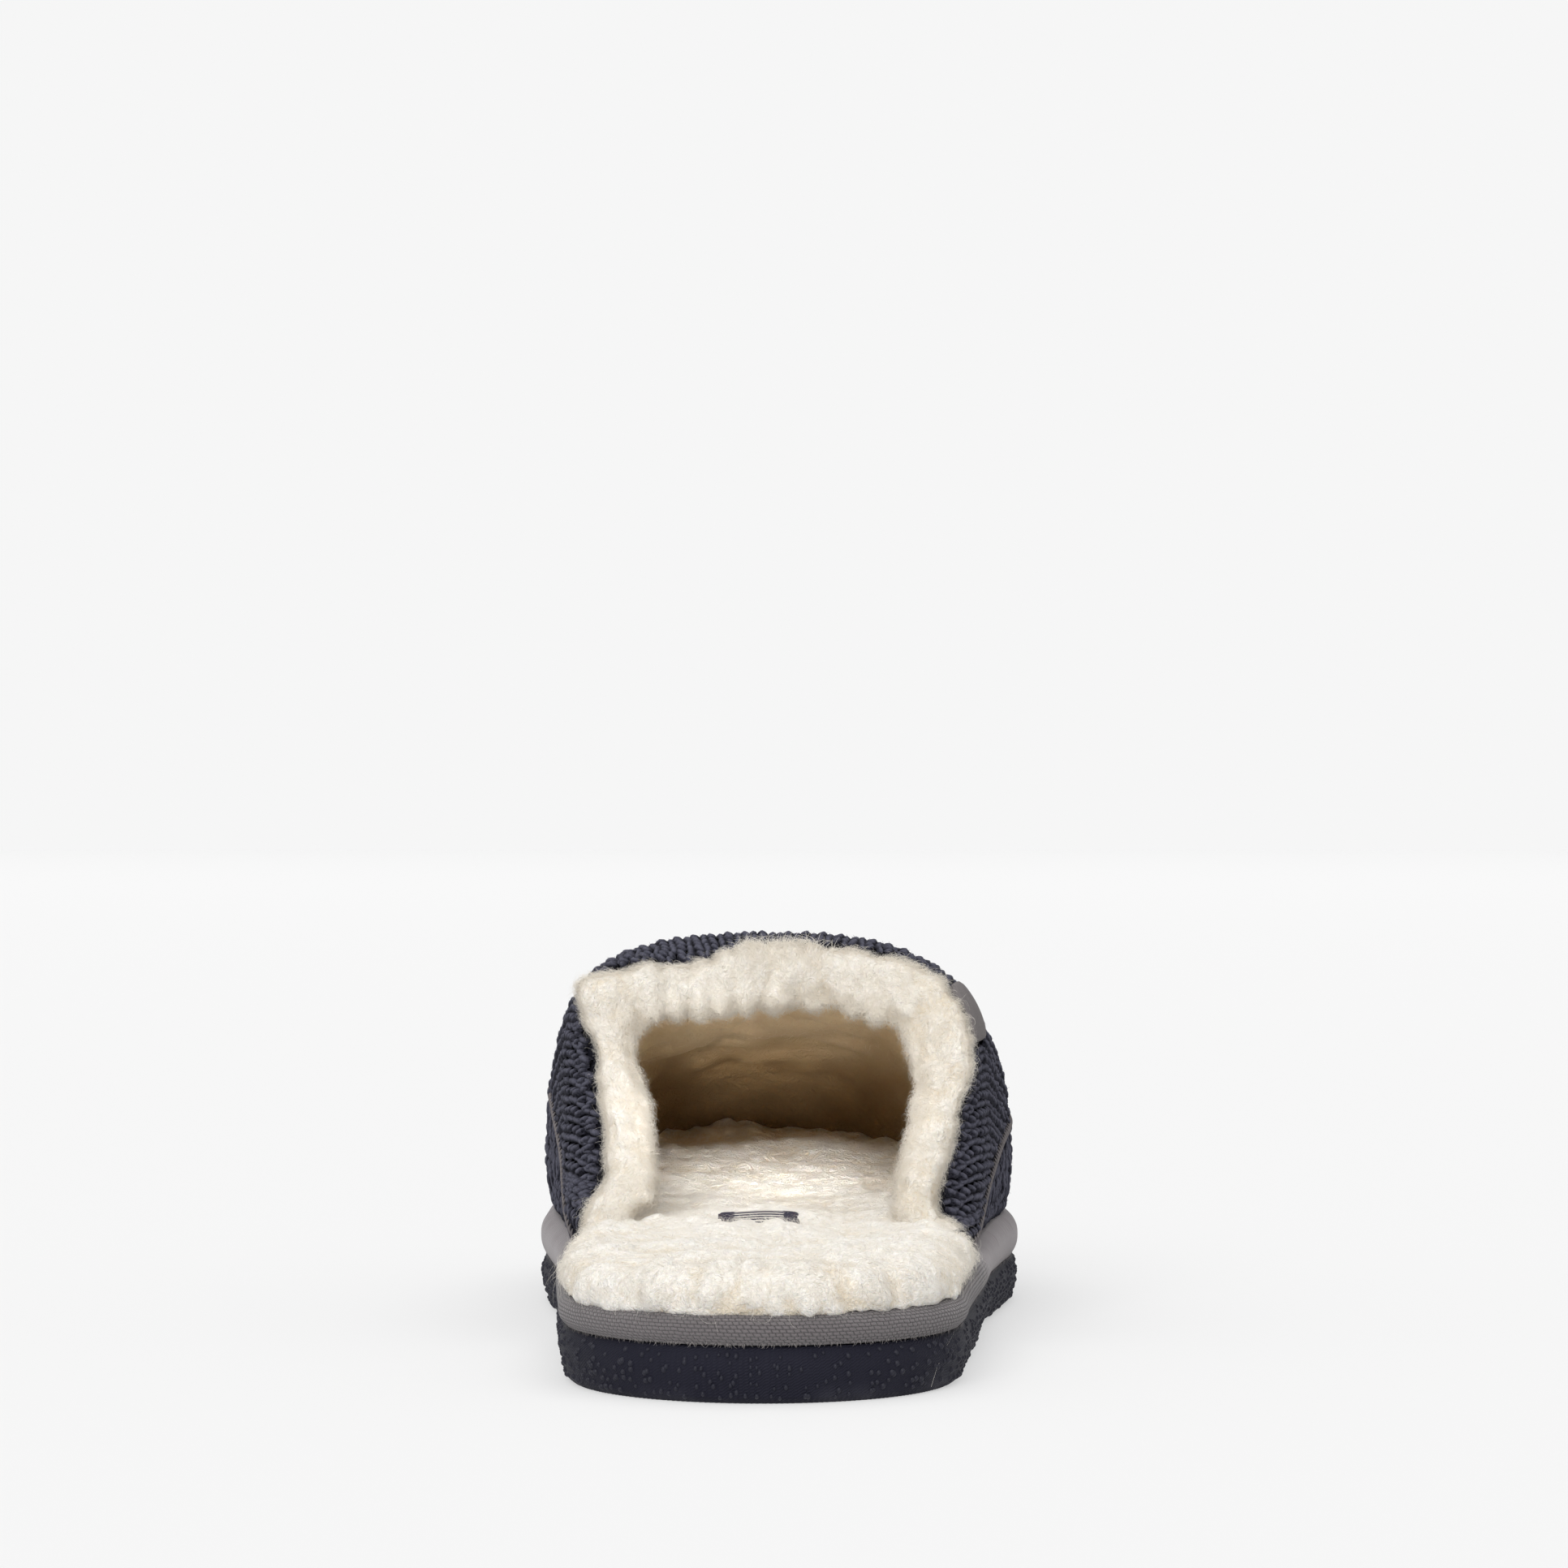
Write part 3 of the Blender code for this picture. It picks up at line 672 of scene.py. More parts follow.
pad = along(PLAN, "pad", STATION)
chosen = slice(0, AROUND, 2)
levels = [ring(pad + UNDERLAP, pile_height(0))[chosen]]
for share in np.linspace(-0.14, 0.97, 10):
    levels.append(ring(pad + along(PILE_SIDE, "inset", share), pile_height(share))[chosen])
for share in np.linspace(0.97, 0.0, 42):
    levels.append(ring(pad + PILE_SIDE[-1].inset, pile_height(1.0), share)[chosen])
insole_points = np.concatenate(levels)
insole_faces = lattice(len(levels), len(levels[0]), True)
swell = 0.0011 * rumple(insole_points, 0.012, 5) + 0.0011 * puffs(insole_points, 0.0064, 6) - 0.0003
swell += 0.0006 * rumple(insole_points, 0.0025, 7)
at_back = 1 - ease(insole_points[:, 1], -0.130, -0.115)
raised, lock_ways = lock_relief(HEEL_LOCKS, insole_points)
at_label = np.linalg.norm(insole_points[:, :2] - LABEL_AT, axis=1)
swell = swell + raised * at_back + LABEL_BULGE * np.exp(-(at_label / LABEL_REACH) ** 4)
# Painted shade in the heel's parting: the tip mark is lowered there, so the wool turns beige, except on
# the locks.
parting_shade = at_back * np.exp(-((insole_points[:, 0] + 0.001) / 0.014) ** 4)
parting_shade = parting_shade * (1 - np.clip(raised / 0.0008, 0, 1))
insole_points = insole_points + smooth_normals(insole_points, insole_faces) * swell[:, None]
insole = put("insole_cushion", insole_points, insole_faces, fleece, "fleece",
             tip=0.5 + swell / SWELL_RANGE - 0.45 * parting_shade)
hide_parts("insole")


rng = np.random.default_rng(31)
centre = insole_points[insole_faces].mean(axis=1)
open_heel = 0.6 * (1 - ease(centre[:, 1], 0.010, 0.060)) + 0.4 * (1 - ease(centre[:, 1], 0.08, 0.13))
at_rim = ease(np.abs(centre[:, 0] + 0.002), 0.030, 0.040) + ease(-centre[:, 1], 0.115, 0.135)
above = centre[:, 2] > pile_height(0.1)(station_of(centre[:, 1]))
weight = open_heel * (1 + 0.7 * at_rim) * above
roots, up, face = scatter(insole_points, insole_faces, INSOLE_FIBRES, weight, rng)
away = unit(roots[:, :2] - HEEL_PARTING)
heading = np.arctan2(away[:, 1] - 0.35, away[:, 0]) + 1.4 * rumple(roots, 0.012, 8)
lean = np.column_stack([np.cos(heading), np.sin(heading), np.full(len(roots), -0.3)])
on_lock = (lock_ways * at_back[:, None])[insole_faces[face, 0]]
rim_share = np.clip(at_rim[face], 0, 1)
grow("insole_pile", roots, up, lean + 3 * on_lock, INSOLE_FIBRE_LONG, 0.65 + 0.25 * rim_share, rng,
     FIBRE_WIDE * (1 + 0.7 * rim_share))

# A few loose hairs hang over the tape, and one clings to the rubber at the outer side of the heel
below = centre[:, 2] < pile_height(0.7)(station_of(centre[:, 1]))
edge_roots = (at_rim > 0.9) & above & (centre[:, 1] < -0.05) & below
roots, up, _ = scatter(insole_points, insole_faces, HEEL_STRAYS, edge_roots, rng)
grow("heel_strays", roots, up, np.broadcast_to(DOWN, up.shape), HEEL_STRAY_LONG, 0.9, rng,
     turn=7.0, steps=10)
climb_up = np.linspace(0.12, 1.0, CLING_POINTS)
cling_x = 0.0287 + 0.0050 * climb_up[:, None] ** 1.5
cling = np.argmin(np.abs(OUTLINE[:, 0] - cling_x) + (OUTLINE[:, 1] > -0.09), axis=1)
out = level(OUTWARD[cling])
path = np.column_stack([OUTLINE[cling], rubber_height(climb_up)(STATION[cling])]) + 0.0004 * out
strands("clinging_hair", path[None], CLING_WIDE, fibre_wool, "fleece", out[None])


# Upper: the vamp, knitted in thick charcoal yarn with its wales running along the foot, over a close dark
# sheet that paints the shade between the stitches. A band of the same knit, turned across, goes around
# the toe below a whipped seam.
Last = namedtuple("Last", "station ridge inner outer")
LAST = (
    Last(0.34, 0.0842, 9.0, 6.2),
    Last(0.44, 0.0852, 9.0, 6.2),
    Last(0.52, 0.0853, 8.4, 5.8),
    Last(0.60, 0.0824, 6.6, 4.9),
    Last(0.69, 0.0766, 4.8, 4.1),
    Last(0.78, 0.0700, 3.7, 3.5),
    Last(0.88, 0.0634, 3.2, 3.1),
    Last(1.00, 0.0580, 3.0, 3.0),
)
CROWN = 2.3
TOE_CENTRE = 0.80
SIDE_INSET = 0.0003
FOOT_TUCK, TUCK_SHARE = 0.0018, 0.22
DRAW_REACH = 0.017
Collar = namedtuple("Collar", "climb station inner outer inner_pile outer_pile")
COLLAR = (
    Collar(0.00, 0.372, 0.0028, 0.0020, 0.0000, 0.0000),
    Collar(0.10, 0.382, 0.0078, 0.0084, 0.0000, 0.0000),
    Collar(0.20, 0.393, 0.0088, 0.0070, 0.0000, 0.0006),
    Collar(0.30, 0.405, 0.0082, 0.0044, 0.0000, 0.0022),
    Collar(0.40, 0.419, 0.0060, 0.0010, 0.0004, 0.0036),
    Collar(0.50, 0.435, 0.0022, 0.0005, 0.0012, 0.0034),
    Collar(0.60, 0.450, 0.0014, 0.0004, 0.0020, 0.0032),
    Collar(0.74, 0.469, 0.0046, 0.0012, 0.0030, 0.0046),
    Collar(0.88, 0.481, 0.0042, 0.0018, 0.0040, 0.0056),
    Collar(1.00, 0.484, 0.0026, 0.0026, 0.0056, 0.0056),
)
MODEL_HALF, MODEL_RISE, HALF_GIRTH = 0.046, 0.062, 0.095
GROUND_DEPTH = 0.0015
WALES, COURSE = 26, 0.0024
INNER_BOW, OUTER_BOW = 0.066, 0.044
BAND_WALE = 0.0036
BAND_TOP_GAP = 0.0030
YARN_FIBRE_LONG, YARN_FIBRE_WIDE, VAMP_FUZZ, BAND_FUZZ = 0.0012, 0.00005, 14000, 4000
YARN_DARK, YARN_LIGHT = (0.004, 0.004, 0.008, 1.0), (0.128, 0.128, 0.170, 1.0)
YARN_FIBRE, YARN_GAP_SHADE = (0.046, 0.046, 0.064, 1.0), (0.012, 0.012, 0.018, 1.0)
Leg = namedtuple("Leg", "near far back front half rise")
LEGS = (
    Leg(-0.20, -0.84, -0.06, 1.06, 0.00090, 0.00125),
    Leg(0.36, 0.64, -0.36, 1.42, 0.00084, 0.00100),
)
LEG_POINTS, ARCH_POINTS = 6, 5
Seam = namedtuple("Seam", "station inner outer")
SEAM = (
    Seam(0.375, 0.0190, 0.0170),
    Seam(0.450, 0.0290, 0.0250),
    Seam(0.530, 0.0385, 0.0320),
    Seam(0.620, 0.0460, 0.0380),
    Seam(0.800, 0.0470, 0.0430),
    Seam(1.000, 0.0450, 0.0450),
)
spread = np.linspace(0, math.pi / 2, 1441)


def even_walk(square):
    """Share of the wall's length from the foot to each angle."""
    x = MODEL_HALF * np.cos(spread) ** (2 / CROWN)
    z = MODEL_RISE * np.sin(spread) ** (2 / square)
    length = run_of(np.column_stack([x, z]))
    return length / length[-1]


inner_walk, outer_walk = even_walk(LAST[1].inner), even_walk(LAST[1].outer)


def by_side(rows, side, at, ending=""):
    """A table's inner or outer column, by the side of the shoe."""
    return np.where(side < 0, along(rows, "inner" + ending, at), along(rows, "outer" + ending, at))


def vamp(station, side, climb, inset):
    """A point of the last: station along the foot, side -1 or 1, climb 0 at the sole and 1 on the ridge.

    inset goes in from the outer face.
    """
    station, side, climb = np.broadcast_arrays(station, side, climb)
    angle = np.where(side < 0, np.interp(climb, inner_walk, spread), np.interp(climb, outer_walk, spread))
    out = np.clip(np.cos(angle), 0, 1) ** (2 / CROWN)
    rise = np.sin(angle) ** (2 / by_side(LAST, side, station))
    foot = edge(station, side)
    centre = middle(station, 0.0, TOE_CENTRE)
    reach = np.linalg.norm(foot - centre, axis=-1)
    way = (foot - centre) / reach[..., None]
    behind = np.clip(1 - (station - along(COLLAR, "station", climb)) * LENGTH / DRAW_REACH, 0, 1) ** 2
    drawn = by_side(COLLAR, side, climb) * behind
    tuck = FOOT_TUCK * np.clip(1 - rise / TUCK_SHARE, 0, 1) ** 2
    radius = out * (reach - SIDE_INSET - inset) - tuck - drawn * np.cos(angle)
    xy = centre + way * radius[..., None]
    held = station_of(xy[..., 1])
    low = roll_top(held) + GAP
    high = along(LAST, "ridge", held) - inset
    z = low + (high - low) * rise - drawn * np.sin(angle)
    return np.concatenate([xy, z[..., None]], axis=-1)


def climb_to(height, station, side, inset):
    """The climbs just below and above a height, which is a function of the station."""
    low, high = 0.0 * station, 0.0 * station + 0.9
    for _ in range(24):
        half = (low + high) / 2
        point = vamp(station, side, half, inset)
        under = point[..., 2] < height(station_of(point[..., 1]))
        low, high = np.where(under, half, low), np.where(under, high, half)
    return low, high


def foot_climb(station, side, inset, floor):
    """Climb at which a wall stands a given height above the platform."""
    if not floor:
        return 0.0 * station
    return climb_to(lambda at: roll_top(at) + GAP + floor, station, side, inset)[1]


def wall(inset, steps, fans, climbs, floor=0.0):
    """Grids over the last: one from the collar to the toe's centre, one around the toe.

    inset is a function of the station, the side and the climb; floor lifts the wall's foot.
    """
    share = np.concatenate([climbs, climbs[-2::-1]])
    side = np.concatenate([-np.ones(len(climbs)), np.ones(len(climbs) - 1)])
    first = along(COLLAR, "station", 0.1)
    body = []
    for step in steps:
        start = np.full(len(side), first + (TOE_CENTRE - first) * step)
        lowest = foot_climb(start, side, inset(start, side, 0.1), floor)
        climb = lowest + (1 - lowest) * share
        rear = along(COLLAR, "station", climb)
        station = rear + (TOE_CENTRE - rear) * step
        body.append(vamp(station, side, climb, inset(station, side, climb)))
    around = TOE_CENTRE + (1 - TOE_CENTRE) * np.concatenate([fans, fans[-2::-1]])
    side = np.concatenate([-np.ones(len(fans)), np.ones(len(fans) - 1)])
    lowest = foot_climb(around, side, inset(around, side, 0.1), floor)
    toe = []
    for step in climbs:
        climb = lowest + (1 - lowest) * step
        toe.append(vamp(around, side, climb, inset(around, side, climb)))
    return np.array(body), np.array(toe)


def two_grids(body, toe, flip=False):
    """The points and faces of a wall's two grids as one mesh."""
    toe_faces = lattice(*toe.shape[:2]) + body.shape[0] * body.shape[1]
    faces = np.concatenate([lattice(*body.shape[:2])[:, ::-1], toe_faces])
    points = np.concatenate([body.reshape(-1, 3), toe.reshape(-1, 3)])
    return points, faces[:, ::-1] if flip else faces


yarn, w = finish_of("charcoal_yarn", Roughness=0.95, Specular_IOR_Level=0.06, Sheen_Weight=0.03)
place = w.place()
fibre = w.noise(place, 1900.0, 4.0, 0.7)
heather = w.noise(place, 420.0, 2.0)
# Painted light: the yarn is painted lighter on the crown of each leg and darker at its edges, by the tip
# mark. The fibre and heather noises add random tone.
crown = w.tip().step(0.48, 1.0)
shade = 0.62 * crown + 0.30 * fibre.step(0.3, 0.7) + 0.22 * heather.step(0.3, 0.7) - 0.10
w.feed(Base_Color=shade.mix(YARN_DARK, YARN_LIGHT))
w.feed(Normal=w.relief(fibre, 0.00050))

# Painted shade: the sheet under the stitches is dark to stand for the shade in the gaps between them.
gap_shade, _ = finish_of("knit_gap_shade", Base_Color=YARN_GAP_SHADE, Roughness=1.0, Specular_IOR_Level=0.05)
steps = np.linspace(0, 1, 60)
fans = np.sin(np.linspace(0, math.pi / 2, 36))
climbs = np.linspace(0, 1, 60)
body, toe = wall(lambda station, side, climb: GROUND_DEPTH + 0 * station, steps, fans, climbs)
points, faces = two_grids(body, toe)
upper = put("vamp_shade_sheet", points, faces, gap_shade, "knit")
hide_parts("upper")


def towards_tip(start, count):
    """Stations from start to the toe's tip, close together there, where the plan turns across."""
    return 1 - (1 - start) * np.linspace(1, 0, count) ** 2.2


# Where the sections fan out around the toe, the direction in plan gives the station
toe_stations = towards_tip(TOE_CENTRE, 400)
toe_plan = np.concatenate([edge(toe_stations, -1.0), edge(toe_stations[::-1], 1.0)[1:]])
toe_spoke = toe_plan - middle(np.array(TOE_CENTRE), 0.0, TOE_CENTRE)
toe_turn = np.arctan2(toe_spoke[:, 0], toe_spoke[:, 1])
toe_reach = np.linalg.norm(toe_spoke, axis=1)
toe_place = np.concatenate([toe_stations, toe_stations[::-1][1:]])
TIP_TURN = toe_turn[len(toe_stations) - 1]


def plug(station, side, climb, inset):
    """A point of the vamp's top, where the wales run straight on over the toe."""
    station, side, climb, inset = np.broadcast_arrays(station, side, climb, inset)
    held = np.minimum(station, TOE_CENTRE)
    x = vamp(held, side, climb, 0.0)[..., 0]
    centre = middle(np.array(TOE_CENTRE), 0.0, TOE_CENTRE)
    ahead = np.maximum((station - TOE_CENTRE) * LENGTH, 1e-6)
    turned = np.arctan2(x - centre[0], ahead)
    over = np.interp(turned, toe_turn, toe_place)
    out = np.hypot(x - centre[0], ahead) / (np.interp(turned, toe_turn, toe_reach) - SIDE_INSET)
    steep = np.arccos(np.clip(out, 0, 1) ** (CROWN / 2))
    toe_side = np.where(turned < TIP_TURN, -1.0, 1.0)
    toe_climb = np.where(toe_side < 0, np.interp(steep, spread, inner_walk),
                         np.interp(steep, spread, outer_walk))
    beyond = station > TOE_CENTRE
    return vamp(np.where(beyond, over, held), np.where(beyond, toe_side, side),
                np.where(beyond, toe_climb, climb), inset)


def stitches(surface, station, side, climb, half_climb, pitch, upright, rng):
    """Both legs of each knitted stitch as arched strips of yarn on a surface.

    station, side and climb give the foot of each stitch; upright stitches climb the wall, the others go
    along it. half_climb and pitch are the half width of a wale and the height of a course, in the
    surface's own steps.
    """
    share = np.linspace(0, 1, LEG_POINTS)
    arch = np.linspace(0, math.pi, ARCH_POINTS)
    bow = np.sin(math.pi * share)
    swell = (0.78 + 0.22 * bow)[:, None, None]
    legs = []
    for leg in LEGS:
        aside = leg.near + (leg.far - leg.near) * share ** 0.8
        ahead = leg.back + (leg.front - leg.back) * share
        if upright:
            at = station[:, None] + aside * half_climb[:, None]
            over = climb[:, None] + ahead * pitch[:, None]
        else:
            over = climb[:, None] + aside * half_climb[:, None]
            at = station[:, None] + ahead * pitch[:, None]
            at = np.maximum(at, along(COLLAR, "station", over) + 0.001)
        beside = np.broadcast_to(side[:, None], at.shape)
        past = (over > 1) & (not upright)
        beside, over = np.where(past, -beside, beside), np.where(past, 2 - over, over)
        over = np.clip(over, 0, 1)
        deep = GROUND_DEPTH - 0.35 * leg.rise * bow
        path = surface(at, beside, over, np.broadcast_to(deep, at.shape))
        lift = surface(at, beside, over, np.broadcast_to(deep - 0.0012, at.shape)) - path
        way = unit(np.gradient(path, axis=1))
        out = unit(lift - way * np.sum(lift * way, axis=-1, keepdims=True))[:, :, None]
        flat = np.cross(way[:, :, None], out)
        round_yarn = leg.half * np.cos(arch)[:, None] * flat + leg.rise * np.sin(arch)[:, None] * out
        plump = rng.normal(1.0, 0.10, (len(station), 1, 1, 1))
        moved = rng.normal(0, 0.00014, (len(station), 1, 1, 3))
        legs.append(path[:, :, None] + moved + plump * swell * round_yarn)
    points = np.concatenate(legs)
    # tip is highest on each leg's crown, where the yarn's material paints it lighter
    tip = np.broadcast_to((0.55 + 0.45 * bow)[:, None] * np.sin(arch), points.shape[:3])
    faces = repeat(lattice(LEG_POINTS, ARCH_POINTS), len(points), LEG_POINTS * ARCH_POINTS)
    return points, faces, tip


def spacing(values, alone):
    """The step from each value to the next, or alone for fewer than two."""
    return np.gradient(values) if len(values) > 1 else np.full(len(values), alone)


# The vamp's stitches: every wale starts at the collar and runs forward until it meets the seam
rng = np.random.default_rng(41)
TAB_LOW, TAB_HIGH, TAB_LENGTH = 0.43, 0.565, 0.030
feet = []
for side in (-1.0, 1.0):
    for wale in range(WALES):
        over = (wale + 0.5) / WALES
        track = np.linspace(along(COLLAR, "station", over), 0.985, 500)
        walked = run_of(plug(track, side, over, 0.0))
        station = np.interp(np.arange(0.0006, walked[-1], COURSE), walked, track)
        place = plug(station, side, over, 0.0)
        kept = place[:, 2] > by_side(SEAM, np.sign(place[:, 0]), station_of(place[:, 1])) + 0.0008
        behind = (station - along(COLLAR, "station", over)) * LENGTH
        beside_tab = side > 0 and TAB_LOW - 0.01 <= over <= TAB_HIGH + 0.01
        kept &= (not beside_tab) | (behind > TAB_LENGTH - 0.001)
        station = station[kept]
        near = np.clip(1 - behind[kept] / DRAW_REACH, 0, 1) ** 2
        sunk = by_side(COLLAR, side, over) / HALF_GIRTH * math.sin(over * math.pi / 2)
        bow = INNER_BOW if side < 0 else OUTER_BOW
        bowed = sunk * near - (sunk + bow) * near ** 2
        bowed = bowed * (1 - ease(over, 0.62, 0.85)) * ease(over, 0.0, 0.12)
        all_alike = np.ones(len(station))
        feet.append([station, side * all_alike, over + bowed, 0.5 / WALES * all_alike,
                     spacing(station, COURSE / LENGTH)])
points, faces, tip = stitches(plug, *np.concatenate(feet, axis=1), False, rng)
put("vamp_knit", points, faces, yarn, "knit", tip=tip)


def yarn_fuzz(name, points, faces, count, rng):
    """Short fibres that stand out of the yarn."""
    roots, up, _ = scatter(points.reshape(-1, 3), faces, count, np.ones(len(faces)), rng)
    paths = curls(roots, up, rng.normal(0, 1, up.shape), YARN_FIBRE_LONG, 1.1, rng, 2.0, 3.0, 3)
    strands(name, paths, YARN_FIBRE_WIDE, short_fibre, "knit", up[:, None])


short_fibre = fibre_of("charcoal_fibre", YARN_FIBRE)
yarn_fuzz("vamp_fuzz", points, faces, VAMP_FUZZ, rng)


# Toe band: its wales stand up from the sole
feet = []
band_track = towards_tip(along(COLLAR, "station", 0.05) + 0.004, 1500)
inner_band, outer_band = (run_of(vamp(band_track, side, 0.12, 0.0)) for side in (-1.0, 1.0))
track_up = np.linspace(0.0, 0.9, 200)
for side, walked in ((-1.0, inner_band), (1.0, outer_band)):
    for foot in np.arange(walked[-1] - BAND_WALE / 2, 0.002, -BAND_WALE):
        rising = vamp(np.full(200, np.interp(foot, walked, band_track)), side, track_up, 0.0)
        walked_up = run_of(rising)
        over = np.interp(np.arange(0.0008, walked_up[-1], COURSE), walked_up, track_up)
        top = by_side(SEAM, side, station_of(np.interp(over, track_up, rising[:, 1])))
        over = over[np.interp(over, track_up, rising[:, 2]) < top - BAND_TOP_GAP]
        all_alike = np.ones(len(over))
        feet.append([foot * all_alike, side * all_alike, over, BAND_WALE / 2 * all_alike,
                     spacing(over, 0.02)])


def band_wall(walk, side, climb, inset):
    """The wall below the seam, by the length walked from the collar and on past the toe's tip."""
    mine = np.where(side < 0, inner_band[-1], outer_band[-1])
    other = np.where(side < 0, outer_band[-1], inner_band[-1])
    past = walk > mine
    walk, side = np.where(past, mine + other - walk, walk), np.where(past, -side, side)
    station = np.where(side < 0, np.interp(walk, inner_band, band_track),
                       np.interp(walk, outer_band, band_track))
    return vamp(station, side, climb, inset)


points, faces, tip = stitches(band_wall, *np.concatenate(feet, axis=1), True, rng)
put("toe_band_knit", points, faces, yarn, "knit", tip=tip)
yarn_fuzz("toe_band_fuzz", points, faces, BAND_FUZZ, rng)

# Seam: the two panels are whipped together with a pinkish grey thread, in a close zigzag over both edges
THREAD_DARK, THREAD_LIGHT = (0.085, 0.077, 0.080, 1.0), (0.235, 0.213, 0.213, 1.0)
THREAD_HALF, ZIG_HALF, ZIG_PITCH = 0.00021, 0.0013, 0.00105


def seam_point(station, side, above, inset):
    """A point of the wall a little above or below the seam."""
    climb = climb_to(lambda at: by_side(SEAM, side, at) + above, station, side, 0.0)[0]
    return vamp(station, side, climb, inset)


def tube(path, out, radius, sides=5):
    """A round thread along a path; out points away from what it lies on."""
    way = unit(np.gradient(path, axis=0))
    out = unit(out - way * np.sum(out * way, axis=1, keepdims=True))
    flat = np.cross(way, out)
    turn = np.linspace(0, 2 * math.pi, sides + 1)[:-1]
    rings = np.cos(turn)[:, None] * flat[:, None] + np.sin(turn)[:, None] * out[:, None]
    return path[:, None] + radius * rings, lattice(len(path), sides, True)


thread, w = finish_of("seam_thread", Roughness=0.8, Specular_IOR_Level=0.2)
w.feed(Base_Color=w.noise(w.place(), 900.0, 2.0).mix(THREAD_DARK, THREAD_LIGHT))
for side, name in ((-1.0, "inner_seam"), (1.0, "outer_seam")):
    track = towards_tip(0.378, 900)
    walked = run_of(seam_point(track, side, 0.0, 0.0))
    zigs = int(walked[-1] / ZIG_PITCH)
    share = np.linspace(0, zigs, 4 * zigs + 1)
    station = np.interp(share * ZIG_PITCH, walked, track)
    swing = ZIG_HALF * (2 * np.abs((share % 2) - 1) - 1)
    lift = 0.0006 * np.cos(math.pi * swing / ZIG_HALF / 2) - 0.0003
    path = seam_point(station, side, swing, -lift)
    points, faces = tube(path, path - seam_point(station, side, swing, 0.002), THREAD_HALF)
    put(name, points, faces, thread, "knit")


# Lining: the same cream fleece inside the vamp. At the collar its pile rolls out past the knit,
# smooth at the sides and parted into hanging locks under the instep.
PILE_REACH = 0.16
LINING_IN, LINING_CUSHION = 0.0115, 0.0014
ROLL_REACH = 0.0048
COLLAR_FIBRES, COLLAR_FIBRE_LONG = 29000, 0.0038
DEEP_FIBRES, DEEP_FIBRE_LONG = 3000, 0.0050
CREST_FIBRES, CREST_FIBRE_LONG = 260, 0.0055
COLLAR_STRAYS, COLLAR_STRAY_LONG = 110, 0.0085
ROLL_STEPS, RIM_ROWS, TOE_ROW = 22, 28, 999
LINING_SHADED_CREAM = (0.915, 0.872, 0.803, 1.0)
INSIDE_SHADE_FROM, INSIDE_SHADE_TO = -0.004, 0.055
MOUTH_MIDDLE = 0.046
Hem = namedtuple("Hem", "climb inner outer")
HEM = (
    Hem(0.00, 0.0008, 0.0008),
    Hem(0.30, 0.0010, 0.0008),
    Hem(0.40, 0.0018, 0.0008),
    Hem(0.47, 0.0024, 0.0008),
    Hem(0.50, 0.0008, 0.0008),
    Hem(0.53, -0.0012, 0.0008),
    Hem(0.56, -0.0006, 0.0008),
    Hem(0.62, 0.0014, 0.0008),
    Hem(0.72, 0.0022, 0.0011),
    Hem(0.82, 0.0022, 0.0014),
    Hem(0.90, 0.0012, 0.0014),
    Hem(1.00, 0.0010, 0.0014),
)
INSTEP_LOCKS = (
    Lock((-0.0014, 0.0840), (0.0062, 0.0788), (-0.0023, 0.0687), 0.0034),
    Lock((-0.0042, 0.0825), (-0.0071, 0.0757), (-0.0071, 0.0682), 0.0030),
    Lock((-0.0097, 0.0800), (-0.0134, 0.0745), (-0.0129, 0.0682), 0.0028),
    Lock((-0.0158, 0.0793), (-0.0178, 0.0731), (-0.0172, 0.0675), 0.0026),
    Lock((-0.0221, 0.0781), (-0.0228, 0.0731), (-0.0221, 0.0675), 0.0028),
    Lock((-0.0284, 0.0774), (-0.0284, 0.0725), (-0.0272, 0.0675), 0.0028),
    Lock((0.0071, 0.0832), (0.0045, 0.0757), (0.0084, 0.0673), 0.0023),
    Lock((0.0096, 0.0806), (0.0127, 0.0750), (0.0171, 0.0682), 0.0027),
    Lock((0.0159, 0.0800), (0.0202, 0.0745), (0.0214, 0.0663), 0.0028),
    Lock((0.0220, 0.0781), (0.0270, 0.0738), (0.0277, 0.0675), 0.0027),
    Lock((-0.0035, 0.0815), (-0.0040, 0.0850), (-0.0005, 0.0862), 0.0020),
    Lock((0.0060, 0.0815), (0.0075, 0.0848), (0.0098, 0.0855), 0.0018),
)


def lining_depth(station, side, climb):
    """Inner face of the cushion under the lining's pile, deeper where it is thick behind the collar."""
    near = np.clip(1 - (station - along(COLLAR, "station", climb)) / PILE_REACH, 0, 1)
    extra = by_side(COLLAR, side, climb, "_pile")
    cushion = LINING_CUSHION - np.where(side < 0, 0.0009, 0.0) * (1 - ease(climb, 0.5, 0.7))
    return LINING_IN - cushion + near * near * extra * 0.75


steps = np.linspace(0, 1, 70) ** 1.3
fans = np.sin(np.linspace(0, math.pi / 2, 24))
climbs = np.linspace(0, 1, 110)
floor = PILE_CUSHION - 0.002
body, toe = wall(lining_depth, steps, fans, climbs, floor)


def hem_depth(station, side, climb):
    """Where the roll's outer edge lies on the knit; at the inner side it makes a corner."""
    return by_side(HEM, side, climb)


